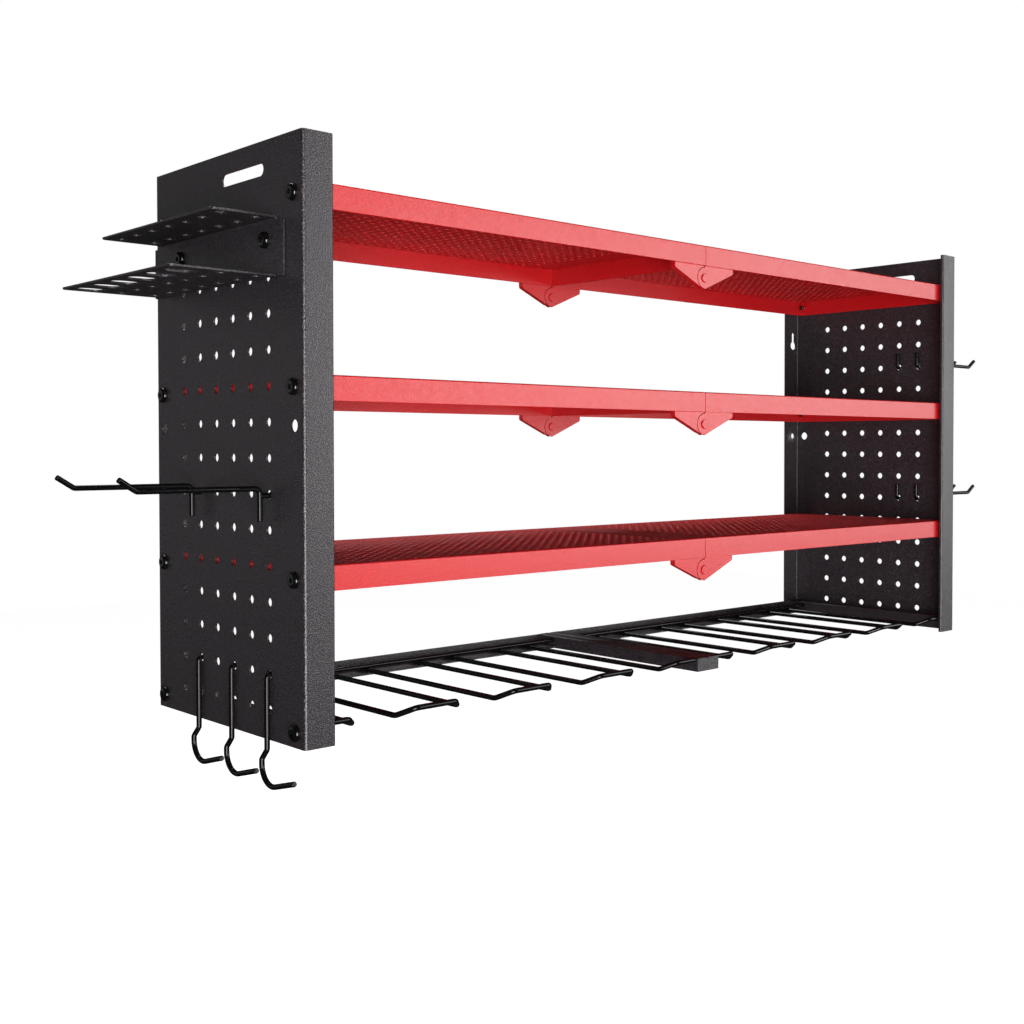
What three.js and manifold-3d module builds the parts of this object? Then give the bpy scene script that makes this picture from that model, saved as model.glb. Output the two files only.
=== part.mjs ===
// Wall mounted power tool organizer: two perforated side panels, three shelves hinged at the middle,
// a wire drill rack, a screwdriver and plier holder and nine peg hooks.
// Millimetres. X runs across with 0 at the centre, Y = 0 is the wall and the rack stands off towards -Y,
// +Z is up and Z = 0 is the line of the two wall screws that the rack hangs on.
import * as THREE from 'three';
import { mergeVertices } from 'three/addons/utils/BufferGeometryUtils.js';
import Module from 'manifold-3d';

const wasm = await Module();
wasm.setup();

// Overall sizes
const rackWidth = 840;
const rackDepth = 220;
const hangHeight = 347.5;
const seat = 0.3;
const overrun = 1;
const holeSides = 8;
const gridHoleSides = 6;
const wireSides = 6;
const threadSides = 8;
const hexSides = 6;

// Side panels: one sheet bent into a web, a front flange with a hem and a rear flange
const panelSheet = 1.5;
const panelBend = 1.75;
const panelCrest = 32.5;
const frontFlange = 25;
const frontHem = 3.8;
const rearFlange = 26;
const pegPitch = 25.4;
const pegHole = 6.5;
const pegColumns = 6;
const lowestPegRow = 21.3;
const topPegClearance = 15;
const edgeInset = 12;
const cableHole = 9;
const cableHoleHeight = 221.5;
const handSlotLength = 60;
const handSlotWidth = 9;
const handSlotFront = 51.5;
const handSlotDrop = 19.7;
const keyholeInset = 10.3;
const keyholeSlot = 5;
const keyholeHead = 10;
const keyholeDrop = 13.5;
const wallHole = 6.5;

// Shelves: folded trays in two halves that meet at the centre
const topShelfHeight = 389.5;
const lowerShelfHeight = 124.8;
const shelfBand = 18.1;
const shelfSheet = 1.2;
const shelfInset = 6.2;
const seamGap = 0.4;
const deckSeamMargin = 29.8;
const deckEndMargin = 8.2;
const deckSideMargin = 3.8;
const deckOpening = 17.5;
const deckWeb = 20.5;

// Shelf hinges: two half-lapped leaves and a pin, behind the front band and behind the rear band
const leafReach = 39.5;
const leafSeam = 1;
const leafRise = 12;
const leafCorner = 4.5;
const leafCornerRadius = 3;
const leafTip = 21.5;
const leafTipInset = 4;
const pivotDrop = 11.1;
const knuckleRadius = 9.3;
const knuckleClearance = 0.8;
const pinRadius = 2.5;
const pinHead = 4.1;
const pinHeadHeight = 0.9;
const pinRimShare = 0.8;

// Drill rack: each half is a sheet frame with a comb of bent wire tongues
const channelWidth = 14;
const channelHeight = 12;
const channelBase = 4.5;
const channelSheet = 1.5;
const channelFront = 2.5;
const railDepth = 24;
const combEnd = 19;
const drillSlot = 37.5;
const fullTongues = 3;
const combWire = 4.4;
const combBend = 6;
const tongueFront = 6.4;
const tongueCorner = 12;
const tongueNarrowing = 10.5;
const tongueRise = 6;
const weldBite = 0.4;
const wireBite = 0.9;
const weldStep = 0.2;

// Fasteners
const screwShank = 5.4;
const screwClearance = 0.6;
const screwHead = 12;
const screwHeadHeight = 3.2;
const domeRimShare = 0.45;
const domeTopShare = 0.55;
const screwSocket = 3.6;
const screwSocketDepth = 1.6;
const screwLength = 9;
const nutAcross = 9;
const nutHeight = 4.5;
const boltShank = 4.4;
const boltHead = 8;
const boltHeadHeight = 3;
const boltInset = 24;

// Tool holder: one sheet with a top plate for screwdrivers and a wider lower plate for pliers
const holderSheet = 1.5;
const holderRise = 15.5;
const holderGap = 40.7;
const holderFront = 22;
const holderLength = 196;
const holderEar = 9.5;
const holderEarDrop = 3.5;
const topPlateDepth = 49.5;
const lowerPlateDepth = 80;
const driverHole = 9;
const driverPitch = 26;
const driverColumns = 7;
const driverFirst = 40;
const innerDriverRow = 12.5;
const driverRowPitch = 26;
const plierSlotWidth = 17;
const plierSlotLength = 23;
const plierSlotPitch = 29;
const plierSlots = 6;
const plierSlotFirst = 49;
const plierSlotInset = 5;

// Hooks
const hookWire = 4;
const hookDrop = 0.9;
const pegUp = 17;
const pegBend = 4;
const armLift = 4.1;
const armRoot = 7;
const stubLength = 18;
const prongTilt = 8;
const prongTip = 12.5;
const hookRise = 30;
const lowHookRise = 5;
const shortProng = 96;
const longProng = 112;
const cableBend = 3;
const cableLeg = 53;
const cableJog = 4.2;
const cableJogDrop = 6;
const cableCurl = 14;
const cableCurlAngle = 105;
const cableReach = 27;

// Places that follow from the sizes
const bottom = -hangHeight;
const halfWidth = rackWidth / 2;
const frontPlane = -rackDepth;
const panelInside = halfWidth - panelSheet;
const pieceEnd = panelInside - seat;
const screwSeat = halfWidth + seat;
const screwHole = screwShank + screwClearance;
const panelHeight = topShelfHeight + panelCrest;
const leafThickness = shelfInset - 2 * seat;
const shelfNames = ['top', 'middle', 'lower'];
const shelfPitch = (topShelfHeight - lowerShelfHeight) / (shelfNames.length - 1);
const shelfZ = shelfNames.map((name, i) => bottom + topShelfHeight - i * shelfPitch);
const pegRows = 1 + Math.floor((topShelfHeight - shelfBand - topPegClearance - lowestPegRow) / pegPitch);
const pegMargin = (rackDepth - (pegColumns - 1) * pegPitch) / 2;
const pegY = (column) => -pegMargin - (column - 1) * pegPitch;
const pegZ = (row) => bottom + lowestPegRow + (row - 1) * pegPitch;
const rowAbove = (shelfTop, rise) => 1 + Math.ceil((shelfTop + rise - pegZ(1)) / pegPitch);
const fromFront = (distance) => frontPlane + distance;

const darkSteel = { color: 0x35343a, roughness: 0.62, metalness: 0.25 };
const redSteel = { color: 0xc8202c, roughness: 0.5, metalness: 0.15 };
const blackWire = { color: 0x141416, roughness: 0.28, metalness: 0.3 };
const blackScrew = { color: 0x1c1c1f, roughness: 0.35, metalness: 0.6 };

// Solids and booleans
function toSolid(geometry) {
  const bare = geometry.clone();
  bare.deleteAttribute('normal');
  bare.deleteAttribute('uv');
  const merged = mergeVertices(bare);
  const mesh = new wasm.Mesh({
    numProp: 3,
    vertProperties: new Float32Array(merged.attributes.position.array),
    triVerts: new Uint32Array(merged.index.array),
  });
  return new wasm.Manifold(mesh);
}

function toGeometry(solid) {
  const mesh = solid.getMesh();
  const geometry = new THREE.BufferGeometry();
  geometry.setAttribute('position', new THREE.BufferAttribute(mesh.vertProperties, 3));
  geometry.setIndex(new THREE.BufferAttribute(mesh.triVerts, 1));
  geometry.computeVertexNormals();
  return geometry;
}

const join = (solids) => solids.reduce((whole, piece) => whole.add(piece));
const cut = (solid, cutters) => (cutters.length ? solid.subtract(join(cutters)) : solid);

function box([x0, x1], [y0, y1], [z0, z1]) {
  const geometry = new THREE.BoxGeometry(Math.abs(x1 - x0), Math.abs(y1 - y0), Math.abs(z1 - z0));
  geometry.translate((x0 + x1) / 2, (y0 + y1) / 2, (z0 + z1) / 2);
  return toSolid(geometry);
}

// Extrudes an outline along a world axis. Outlines are drawn in (Y, Z) for x, (X, Z) for y, (X, Y) for z.
function extrude(shape, axis, from, to) {
  const low = Math.min(from, to);
  const high = Math.max(from, to);
  const geometry = new THREE.ExtrudeGeometry(shape, { depth: high - low, bevelEnabled: false });
  const turn = new THREE.Matrix4();
  const x = new THREE.Vector3(1, 0, 0);
  const y = new THREE.Vector3(0, 1, 0);
  const z = new THREE.Vector3(0, 0, 1);
  if (axis === 'x') turn.makeBasis(y, z, x).setPosition(low, 0, 0);
  if (axis === 'y') turn.makeBasis(x, z, y.clone().negate()).setPosition(0, high, 0);
  if (axis === 'z') turn.setPosition(0, 0, low);
  geometry.applyMatrix4(turn);
  return toSolid(geometry);
}

const outline = (points) => new THREE.Shape(points.map(([u, v]) => new THREE.Vector2(u, v)));

function arcPoints(u, v, radius, startAngle, endAngle, steps) {
  return Array.from({ length: steps + 1 }, (_, i) => {
    const angle = startAngle + ((endAngle - startAngle) * i) / steps;
    return [u + radius * Math.cos(angle), v + radius * Math.sin(angle)];
  });
}

function polygonOutline(u, v, corner, sides, start) {
  return outline(arcPoints(u, v, corner, start, start + 2 * Math.PI, sides).slice(0, sides));
}

// A hole's flats and a bar's corners lie on the true circle, so a bar never fouls its hole
function holeOutline(u, v, diameter, sides = holeSides) {
  return polygonOutline(u, v, diameter / 2 / Math.cos(Math.PI / sides), sides, Math.PI / sides);
}

function barOutline(u, v, diameter, sides = holeSides) {
  return polygonOutline(u, v, diameter / 2, sides, Math.PI / sides);
}

function hexOutline(u, v, across) {
  return polygonOutline(u, v, across / 2 / Math.cos(Math.PI / hexSides), hexSides, 0);
}

function slotOutline(u, v, length, width) {
  const reach = (length - width) / 2;
  const right = arcPoints(u + reach, v, width / 2, -Math.PI / 2, Math.PI / 2, holeSides / 2);
  const left = arcPoints(u - reach, v, width / 2, Math.PI / 2, (3 * Math.PI) / 2, holeSides / 2);
  return outline([...right, ...left]);
}

// A path of straight runs and round bends with stations only where a bend needs them
class BentPath extends THREE.Curve {
  constructor(corners, radius, bendSteps = 3) {
    super();
    this.points = [];
    this.directions = [];
    const last = corners.length - 1;
    const runs = corners.slice(1).map((corner, i) => corner.clone().sub(corners[i]).normalize());
    this.addStation(corners[0], runs[0]);
    for (let i = 1; i < last; i += 1) {
      const turn = runs[i - 1].angleTo(runs[i]);
      const setback = radius * Math.tan(turn / 2);
      const entry = corners[i].clone().addScaledVector(runs[i - 1], -setback);
      const inward = runs[i].clone().addScaledVector(runs[i - 1], -runs[i].dot(runs[i - 1])).normalize();
      for (let step = 0; step <= bendSteps; step += 1) {
        const angle = (turn * step) / bendSteps;
        const along = radius * Math.sin(angle);
        const across = radius * (1 - Math.cos(angle));
        const point = entry.clone().addScaledVector(runs[i - 1], along).addScaledVector(inward, across);
        const heading = runs[i - 1].clone().multiplyScalar(Math.cos(angle));
        this.addStation(point, heading.addScaledVector(inward, Math.sin(angle)));
      }
    }
    this.addStation(corners[last], runs[last - 1]);
  }

  addStation(point, direction) {
    this.points.push(point.clone());
    this.directions.push(direction.clone().normalize());
  }

  get steps() {
    return this.points.length - 1;
  }

  getPoint(t, target = new THREE.Vector3()) {
    return target.copy(this.points[Math.round(t * this.steps)]);
  }

  getPointAt(t, target) {
    return this.getPoint(t, target);
  }

  getTangentAt(t, target = new THREE.Vector3()) {
    return target.copy(this.directions[Math.round(t * this.steps)]);
  }
}

function wire(path, diameter) {
  const geometry = new THREE.ExtrudeGeometry(barOutline(0, 0, diameter, wireSides), {
    steps: path.steps,
    extrudePath: path,
    bevelEnabled: false,
  });
  return toSolid(geometry);
}

// The section of a bent sheet along a middle line of [x, y] corners
function sheetSection(corners, thickness, radius, bendSteps = 2) {
  const path = new BentPath(corners.map(([x, y]) => new THREE.Vector3(x, y, 0)), radius, bendSteps);
  const side = (sign) => path.points.map((point, i) => [
    point.x - (sign * path.directions[i].y * thickness) / 2,
    point.y + (sign * path.directions[i].x * thickness) / 2,
  ]);
  return outline([...side(1), ...side(-1).reverse()]);
}

// A lathed piece turned about the X axis, with its profile as [along, radius] points
function turnedAlongX(profile, sign, place, y, z, sides = threadSides) {
  const points = profile.map(([along, radius]) => new THREE.Vector2(radius, along));
  const geometry = new THREE.LatheGeometry(points, sides);
  geometry.rotateZ((-sign * Math.PI) / 2);
  geometry.translate(place, y, z);
  return toSolid(geometry);
}

// A welded nut stands inwards from half way through the sheet whose face is at x
function weldNut(x, inward, y, z, sheet, across = nutAcross) {
  const start = x + (inward * sheet) / 2;
  return extrude(hexOutline(y, z, across), 'x', start, start + inward * nutHeight);
}

// A clear hole through a sheet whose face is at x and through the nut behind it
function screwBore(x, inward, y, z, sheet, diameter) {
  const depth = sheet / 2 + nutHeight + overrun;
  return extrude(holeOutline(y, z, diameter), 'x', x - inward * overrun, x + inward * depth);
}

const rack = new THREE.Group();

function addPiece(name, solid, finish) {
  const mesh = new THREE.Mesh(toGeometry(solid), new THREE.MeshStandardMaterial(finish));
  mesh.name = name;
  rack.add(mesh);
}

const sides = [['left', -1], ['right', 1]];
const ends = [['front', fromFront(edgeInset)], ['rear', -edgeInset]];
const bandMiddle = (top) => top - shelfBand / 2;
const rackScrewZ = bottom + channelBase + channelHeight / 2;

// Side panels
function sidePanel(sign) {
  const middle = panelSheet / 2;
  const web = sign * (halfWidth - middle);
  const hem = sign * (halfWidth - frontFlange + middle);
  const section = sheetSection([
    [hem, fromFront(frontHem)],
    [hem, fromFront(middle)],
    [web, fromFront(middle)],
    [web, -middle],
    [sign * (halfWidth - rearFlange), -middle],
  ], panelSheet, panelBend);
  const blank = extrude(section, 'z', bottom, bottom + panelHeight);
  const through = [sign * (panelInside - overrun), sign * (halfWidth + overrun)];
  const webHole = (shape) => extrude(shape, 'x', ...through);
  const pegs = [];
  for (let row = 1; row <= pegRows; row += 1) {
    for (let column = 1; column <= pegColumns; column += 1) {
      pegs.push(webHole(holeOutline(pegY(column), pegZ(row), pegHole, gridHoleSides)));
    }
  }
  const slotY = fromFront(handSlotFront + handSlotLength / 2);
  const slotZ = bottom + panelHeight - handSlotDrop;
  const handSlot = webHole(slotOutline(slotY, slotZ, handSlotLength, handSlotWidth));
  const cableHoles = ends.map(([, y]) => webHole(holeOutline(y, bottom + cableHoleHeight, cableHole)));
  const screwHeights = [...shelfZ.map(bandMiddle), rackScrewZ];
  const screwHoles = screwHeights.flatMap((z) => ends.map(([, y]) => webHole(holeOutline(y, z, screwHole))));
  const flangeHole = (shape) => extrude(shape, 'y', -panelSheet - overrun, overrun);
  const keyholeX = sign * (halfWidth - keyholeInset);
  const slotTop = keyholeSlot / 2;
  const neck = outline([
    [keyholeX - slotTop, -keyholeDrop],
    [keyholeX + slotTop, -keyholeDrop],
    ...arcPoints(keyholeX, 0, slotTop, 0, Math.PI, holeSides / 2),
  ]);
  const wallHoles = [
    flangeHole(holeOutline(keyholeX, -keyholeDrop, keyholeHead)).add(flangeHole(neck)),
    flangeHole(holeOutline(keyholeX, bottom + cableHoleHeight, wallHole)),
  ];
  return cut(blank, [...pegs, handSlot, ...cableHoles, ...screwHoles, ...wallHoles]);
}

// Shelf halves
const shelfFront = fromFront(shelfInset);
const shelfRear = -shelfInset;

// The deck's openwork as a plain grid, spread evenly between the deck's margins
function deckOpenings(sign, fieldStart, fieldEnd, top) {
  const span = [Math.abs(fieldEnd - fieldStart), shelfRear - shelfFront - 2 * deckSideMargin];
  const counts = span.map((length) => Math.max(1, Math.floor(length / (deckOpening + deckWeb))));
  const half = deckOpening / 2;
  const through = [top - shelfSheet - overrun, top + overrun];
  const openings = [];
  for (let across = 0; across < counts[0]; across += 1) {
    for (let back = 0; back < counts[1]; back += 1) {
      const x = fieldStart + (sign * span[0] * (across + 0.5)) / counts[0];
      const y = shelfFront + deckSideMargin + (span[1] * (back + 0.5)) / counts[1];
      openings.push(box([x - half, x + half], [y - half, y + half], through));
    }
  }
  return openings;
}

function shelfHalf(sign, top) {
  const inner = sign * (seamGap / 2);
  const outer = sign * pieceEnd;
  const block = box([inner, outer], [shelfFront, shelfRear], [top - shelfBand, top]);
  const hollow = box(
    [inner + sign * shelfSheet, outer - sign * shelfSheet],
    [shelfFront + shelfSheet, shelfRear - shelfSheet],
    [top - shelfBand - overrun, top - shelfSheet],
  );
  const z = bandMiddle(top);
  const openings = deckOpenings(sign, inner + sign * deckSeamMargin, outer - sign * deckEndMargin, top);
  const nuts = ends.map(([, y]) => weldNut(outer, -sign, y, z, shelfSheet));
  const bores = ends.map(([, y]) => screwBore(outer, -sign, y, z, shelfSheet, screwHole));
  return cut(join([block.subtract(hollow), ...nuts]), [...bores, ...openings]);
}

// Hinge leaves. The knuckle of one leaf turns in a round recess of the other, in both layers of the lap.
const hingeFaces = [['front', shelfFront + shelfSheet + seat], ['rear', shelfRear + seat]];
const recessRadius = knuckleRadius + knuckleClearance;
const leafStart = leafSeam / 2;

// The outer side of a leaf, from its top to its lower tip with the corner rounded
function leafSide(bandBottom, tip) {
  const corners = [
    [leafReach, bandBottom - seat],
    [leafReach, bandBottom - leafCorner],
    tip,
  ].map(([x, y]) => new THREE.Vector3(x, y, 0));
  const side = new BentPath(corners, leafCornerRadius, 2);
  return side.points.map((point) => [point.x, point.y]);
}

const mirrored = (points, sign) => outline(points.map(([u, v]) => [sign * u, v]));

function leafPlate(sign, bandBottom) {
  const topAngle = Math.acos(leafStart / recessRadius);
  const tipAngle = Math.acos(leafTipInset / recessRadius);
  return mirrored([
    [leafStart, bandBottom - seat],
    ...arcPoints(0, bandBottom - pivotDrop, recessRadius, topAngle, -tipAngle, 7),
    ...leafSide(bandBottom, [leafTipInset, bandBottom - leafTip]).reverse(),
  ], sign);
}

function leafWithKnuckle(sign, bandBottom) {
  const shoulderDrop = pivotDrop - leafCorner;
  const towards = Math.atan2(shoulderDrop, leafReach);
  const tangent = towards - Math.acos(knuckleRadius / Math.hypot(leafReach, shoulderDrop));
  const topAngle = Math.acos(leafStart / knuckleRadius);
  const pivotZ = bandBottom - pivotDrop;
  const knuckle = arcPoints(0, pivotZ, knuckleRadius, topAngle, 2 * Math.PI + tangent, 10);
  return mirrored([
    [leafStart, bandBottom - seat],
    ...knuckle,
    ...leafSide(bandBottom, knuckle[knuckle.length - 1]).reverse().slice(1),
  ], sign);
}

// The right leaf's knuckle lies in front of the left one's. The pin's rear head is sunk flush in a pocket.
function hingeLeaf(sign, top, face) {
  const bandBottom = top - shelfBand;
  const pivotZ = bandBottom - pivotDrop;
  const back = face + leafThickness;
  const lap = face + leafThickness / 2;
  const plate = extrude(leafPlate(sign, bandBottom), 'y', face, back);
  const knuckleLayer = sign > 0 ? [face, lap - seat / 2] : [lap + seat / 2, back];
  const knuckle = extrude(leafWithKnuckle(sign, bandBottom), 'y', ...knuckleLayer);
  const gripStart = sign * (leafStart + shelfSheet + seat);
  const gripHeight = [bandBottom - seat - weldBite, bandBottom + leafRise];
  const grip = box([gripStart, sign * leafReach], [face, back], gripHeight);
  const pinHole = holeOutline(0, pivotZ, 2 * (pinRadius + seat));
  const headPocket = holeOutline(0, pivotZ, 2 * (pinHead + seat));
  return cut(join([plate, knuckle, grip]), [
    extrude(pinHole, 'y', face - overrun, back + overrun),
    extrude(headPocket, 'y', back - pinHeadHeight - seat, back + overrun),
  ]);
}

function hingePin(top, face) {
  const profile = [
    [0, -seat - pinHeadHeight],
    [pinHead * pinRimShare, -seat - pinHeadHeight],
    [pinHead, -seat],
    [pinRadius, -seat],
    [pinRadius, leafThickness - pinHeadHeight],
    [pinHead, leafThickness - pinHeadHeight],
    [pinHead, leafThickness],
    [0, leafThickness],
  ].map(([radius, along]) => new THREE.Vector2(radius, along));
  const geometry = new THREE.LatheGeometry(profile, threadSides);
  geometry.translate(0, face, top - shelfBand - pivotDrop);
  return toSolid(geometry);
}

// Drill rack halves, laid out about the middle of each half
const channelZ = [bottom + channelBase, bottom + channelBase + channelHeight];
const channelRear = -panelSheet - seat;
const halfMiddle = (pieceEnd + seamGap / 2) / 2;
const halfReach = (pieceEnd - seamGap / 2) / 2;
const tonguePitch = (2 * (halfReach - combEnd)) / (fullTongues + 1);
const tongueWidth = tonguePitch - drillSlot;
const legZ = bottom + channelBase + weldStep + channelSheet + seat + combWire / 2;

function sideChannel(webX, inward) {
  const inner = webX + inward * channelWidth;
  const front = fromFront(channelFront);
  const hollow = box(
    [webX + inward * channelSheet, inner - inward * channelSheet],
    [front + channelSheet, channelRear + overrun],
    [channelZ[0] - overrun, channelZ[1] - channelSheet],
  );
  return box([webX, inner], [front, channelRear], channelZ).subtract(hollow);
}

const boltPlaces = [['front', fromFront(boltInset)], ['rear', -boltInset]];

function rackFrame(sign) {
  const outer = sign * pieceEnd;
  const centre = sign * (seamGap / 2);
  const railRear = channelRear - weldStep;
  const [railLow, railHigh] = [channelZ[0] + weldStep, channelZ[1] - weldStep];
  const railSection = outline([
    [railRear - railDepth, railLow],
    [railRear, railLow],
    [railRear, railHigh],
    [railRear - channelSheet, railHigh],
    [railRear - channelSheet, railLow + channelSheet],
    [railRear - railDepth, railLow + channelSheet],
  ]);
  const reach = channelWidth - channelSheet / 2;
  const rail = extrude(railSection, 'x', outer - sign * reach, centre + sign * reach);
  const boltHole = boltShank + screwClearance;
  const screwNuts = ends.map(([, y]) => weldNut(outer, -sign, y, rackScrewZ, channelSheet));
  const boltNuts = boltPlaces.map(([, y]) => weldNut(centre, sign, y, rackScrewZ, channelSheet, boltHead));
  const bores = [
    ...ends.map(([, y]) => screwBore(outer, -sign, y, rackScrewZ, channelSheet, screwHole)),
    ...boltPlaces.map(([, y]) => screwBore(centre, sign, y, rackScrewZ, channelSheet, boltHole)),
  ];
  const frame = [sideChannel(outer, -sign), sideChannel(centre, sign), rail, ...screwNuts];
  return cut(join(sign > 0 ? [...frame, ...boltNuts] : frame), bores);
}

function wireComb(sign) {
  const middle = sign * halfMiddle;
  const legHalf = tongueWidth / 2;
  const barHalf = legHalf - tongueNarrowing;
  const legRear = channelRear - channelSheet - seat - combWire / 2;
  const legFront = fromFront(tongueFront + tongueCorner);
  const barY = fromFront(tongueFront);
  const barZ = legZ + tongueRise;
  const place = (x, y, z) => new THREE.Vector3(middle + x, y, z);
  const tongues = [];
  for (let i = 0; i < fullTongues; i += 1) {
    const centre = (i - (fullTongues - 1) / 2) * tonguePitch;
    tongues.push([
      place(centre - legHalf, legRear, legZ),
      place(centre - legHalf, legFront, legZ),
      place(centre - barHalf, barY, barZ),
      place(centre + barHalf, barY, barZ),
      place(centre + legHalf, legFront, legZ),
      place(centre + legHalf, legRear, legZ),
    ]);
  }
  const endLeg = ((fullTongues + 1) / 2) * tonguePitch - legHalf;
  const channelFace = halfReach - channelWidth - seat;
  [-1, 1].forEach((end) => tongues.push([
    place(end * endLeg, legRear, legZ),
    place(end * endLeg, legFront, legZ),
    place(end * (endLeg + tongueNarrowing), barY, barZ),
    place(end * channelFace, barY, barZ),
  ]));
  const crossZ = legZ + combWire - wireBite;
  const crossY = channelRear - railDepth + combWire / 2;
  const cross = [place(-channelFace, crossY, crossZ), place(channelFace, crossY, crossZ)];
  return join([cross, ...tongues].map((corners) => wire(new BentPath(corners, combBend, 2), combWire)));
}

// Screws with a domed head and a hexagon socket
function panelScrew(sign, y, z, length = screwLength) {
  const radius = screwHead / 2;
  const profile = [
    [-length, 0],
    [-length, screwShank / 2],
    [0, screwShank / 2],
    [0, radius],
    [screwHeadHeight * domeRimShare, radius],
    [screwHeadHeight, radius * domeTopShare],
    [screwHeadHeight, 0],
  ];
  const face = sign * (screwSeat + screwHeadHeight);
  const floor = face - sign * screwSocketDepth;
  const socket = extrude(hexOutline(y, z, screwSocket), 'x', floor, face + sign * overrun);
  return turnedAlongX(profile, sign, sign * screwSeat, y, z).subtract(socket);
}

function joinBolt(y) {
  const start = -seamGap / 2 - channelSheet - seat;
  const end = seamGap / 2 + channelSheet / 2 + nutHeight + overrun;
  const shank = extrude(barOutline(y, rackScrewZ, boltShank), 'x', start - boltHeadHeight / 2, end);
  const head = extrude(hexOutline(y, rackScrewZ, boltHead), 'x', start - boltHeadHeight, start);
  return shank.add(head);
}

// Tool holder on the outside of the left panel
const holderBack = -halfWidth - seat;
const holderY = [fromFront(holderFront), fromFront(holderFront + holderLength)];
const plateY = [holderY[0] + holderEar, holderY[1] - holderEar];
const holderBoltZ = pegZ(pegRows);
const holderZ = holderBoltZ + holderRise;
const lowerPlateZ = holderZ - holderGap;
const holderScrewColumns = [['front', pegColumns], ['rear', 1]];

function toolHolder() {
  const backX = [holderBack - holderSheet, holderBack];
  const backLow = lowerPlateZ - holderSheet;
  const back = box(backX, plateY, [backLow, holderZ]);
  const ears = box(backX, holderY, [backLow, holderZ - holderEarDrop]);
  const top = box([holderBack - topPlateDepth, holderBack], plateY, [holderZ - holderSheet, holderZ]);
  const lower = box([holderBack - lowerPlateDepth, holderBack], plateY, [backLow, lowerPlateZ]);
  const through = [backLow - overrun, holderZ + overrun];
  const driverHoles = [];
  [innerDriverRow, innerDriverRow + driverRowPitch].forEach((distance) => {
    for (let i = 0; i < driverColumns; i += 1) {
      const y = fromFront(driverFirst + i * driverPitch);
      const hole = holeOutline(holderBack - distance, y, driverHole, gridHoleSides);
      driverHoles.push(extrude(hole, 'z', ...through));
    }
  });
  const slotX = holderBack - lowerPlateDepth + plierSlotInset + plierSlotLength / 2;
  const slots = [];
  for (let i = 0; i < plierSlots; i += 1) {
    const y = fromFront(plierSlotFirst + i * plierSlotPitch);
    const slot = slotOutline(slotX, y, plierSlotLength, plierSlotWidth);
    slots.push(extrude(slot, 'z', backLow - overrun, lowerPlateZ + overrun));
  }
  const screwHoles = holderScrewColumns.map(([, column]) => extrude(
    holeOutline(pegY(column), holderBoltZ, screwHole), 'x',
    holderBack + overrun, holderBack - holderSheet - overrun));
  return cut(join([back, ears, top, lower]), [...driverHoles, ...slots, ...screwHoles]);
}

// The holder's bolts pass through peg holes and carry a nut inside the panel
function holderBolt(column) {
  const y = pegY(column);
  const z = holderBoltZ;
  const stack = holderSheet + panelSheet + 3 * seat;
  const length = stack + nutHeight + overrun;
  const radius = screwHead / 2;
  const headSeat = holderBack - holderSheet - seat;
  const profile = [
    [-length, 0],
    [-length, screwShank / 2],
    [0, screwShank / 2],
    [0, radius],
    [screwHeadHeight * domeRimShare, radius],
    [screwHeadHeight, radius * domeTopShare],
    [screwHeadHeight, 0],
  ];
  const face = headSeat - screwHeadHeight;
  const socket = extrude(hexOutline(y, z, screwSocket), 'x', face + screwSocketDepth, face - overrun);
  const nutStart = -panelInside + seat;
  const nut = extrude(hexOutline(y, z, nutAcross), 'x', nutStart, nutStart + nutHeight);
  return turnedAlongX(profile, -1, headSeat, y, z).subtract(socket).add(nut);
}

// Peg hooks. Each wire goes through a peg hole and turns up behind the panel.
const pegX = panelInside - seat - hookWire / 2;
const legX = halfWidth + seat + hookWire / 2;

// The peg stops at the stub, and the arm bends down into the stub a little higher
function prongHook(sign, column, row, reach) {
  const rootX = halfWidth + armRoot;
  const at = (x, height) => new THREE.Vector3(sign * x, pegY(column), pegZ(row) + height);
  const peg = new BentPath([
    at(pegX, pegUp - hookDrop),
    at(pegX, -hookDrop),
    at(rootX, -hookDrop),
  ], pegBend);
  const arm = new BentPath([
    at(rootX, -hookDrop - stubLength),
    at(rootX, armLift),
    at(halfWidth + reach, armLift),
    at(halfWidth + reach + prongTip, armLift + prongTilt),
  ], pegBend);
  return wire(peg, hookWire).add(wire(arm, hookWire));
}

// The leg follows the panel, jogs outwards and curls forwards
function cableHook(sign, column, row) {
  const y = pegY(column);
  const z = pegZ(row);
  const at = (x, down, forward = 0) => new THREE.Vector3(sign * x, y - forward, z - down);
  const curlX = legX + cableJog;
  const jogEnd = cableLeg + cableJogDrop;
  const curlStart = jogEnd + cableBend;
  const path = new BentPath([
    at(pegX, -pegUp),
    at(pegX, 0),
    at(legX, 0),
    at(legX, cableLeg),
    at(curlX, jogEnd),
    at(curlX, curlStart),
  ], cableBend);
  const curlSteps = 5;
  const turn = THREE.MathUtils.degToRad(cableCurlAngle);
  for (let i = 1; i <= curlSteps; i += 1) {
    const angle = (turn * i) / curlSteps;
    const down = curlStart + cableCurl * Math.sin(angle);
    const forward = cableCurl * (1 - Math.cos(angle));
    path.addStation(at(curlX, down, forward), new THREE.Vector3(0, -Math.sin(angle), -Math.cos(angle)));
  }
  const runStart = path.points[path.steps];
  const heading = path.directions[path.steps];
  path.addStation(runStart.clone().addScaledVector(heading, cableReach), heading);
  return wire(path, hookWire);
}

// Assembly
sides.forEach(([side, sign]) => addPiece(`side_panel_${side}`, sidePanel(sign), darkSteel));

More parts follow.
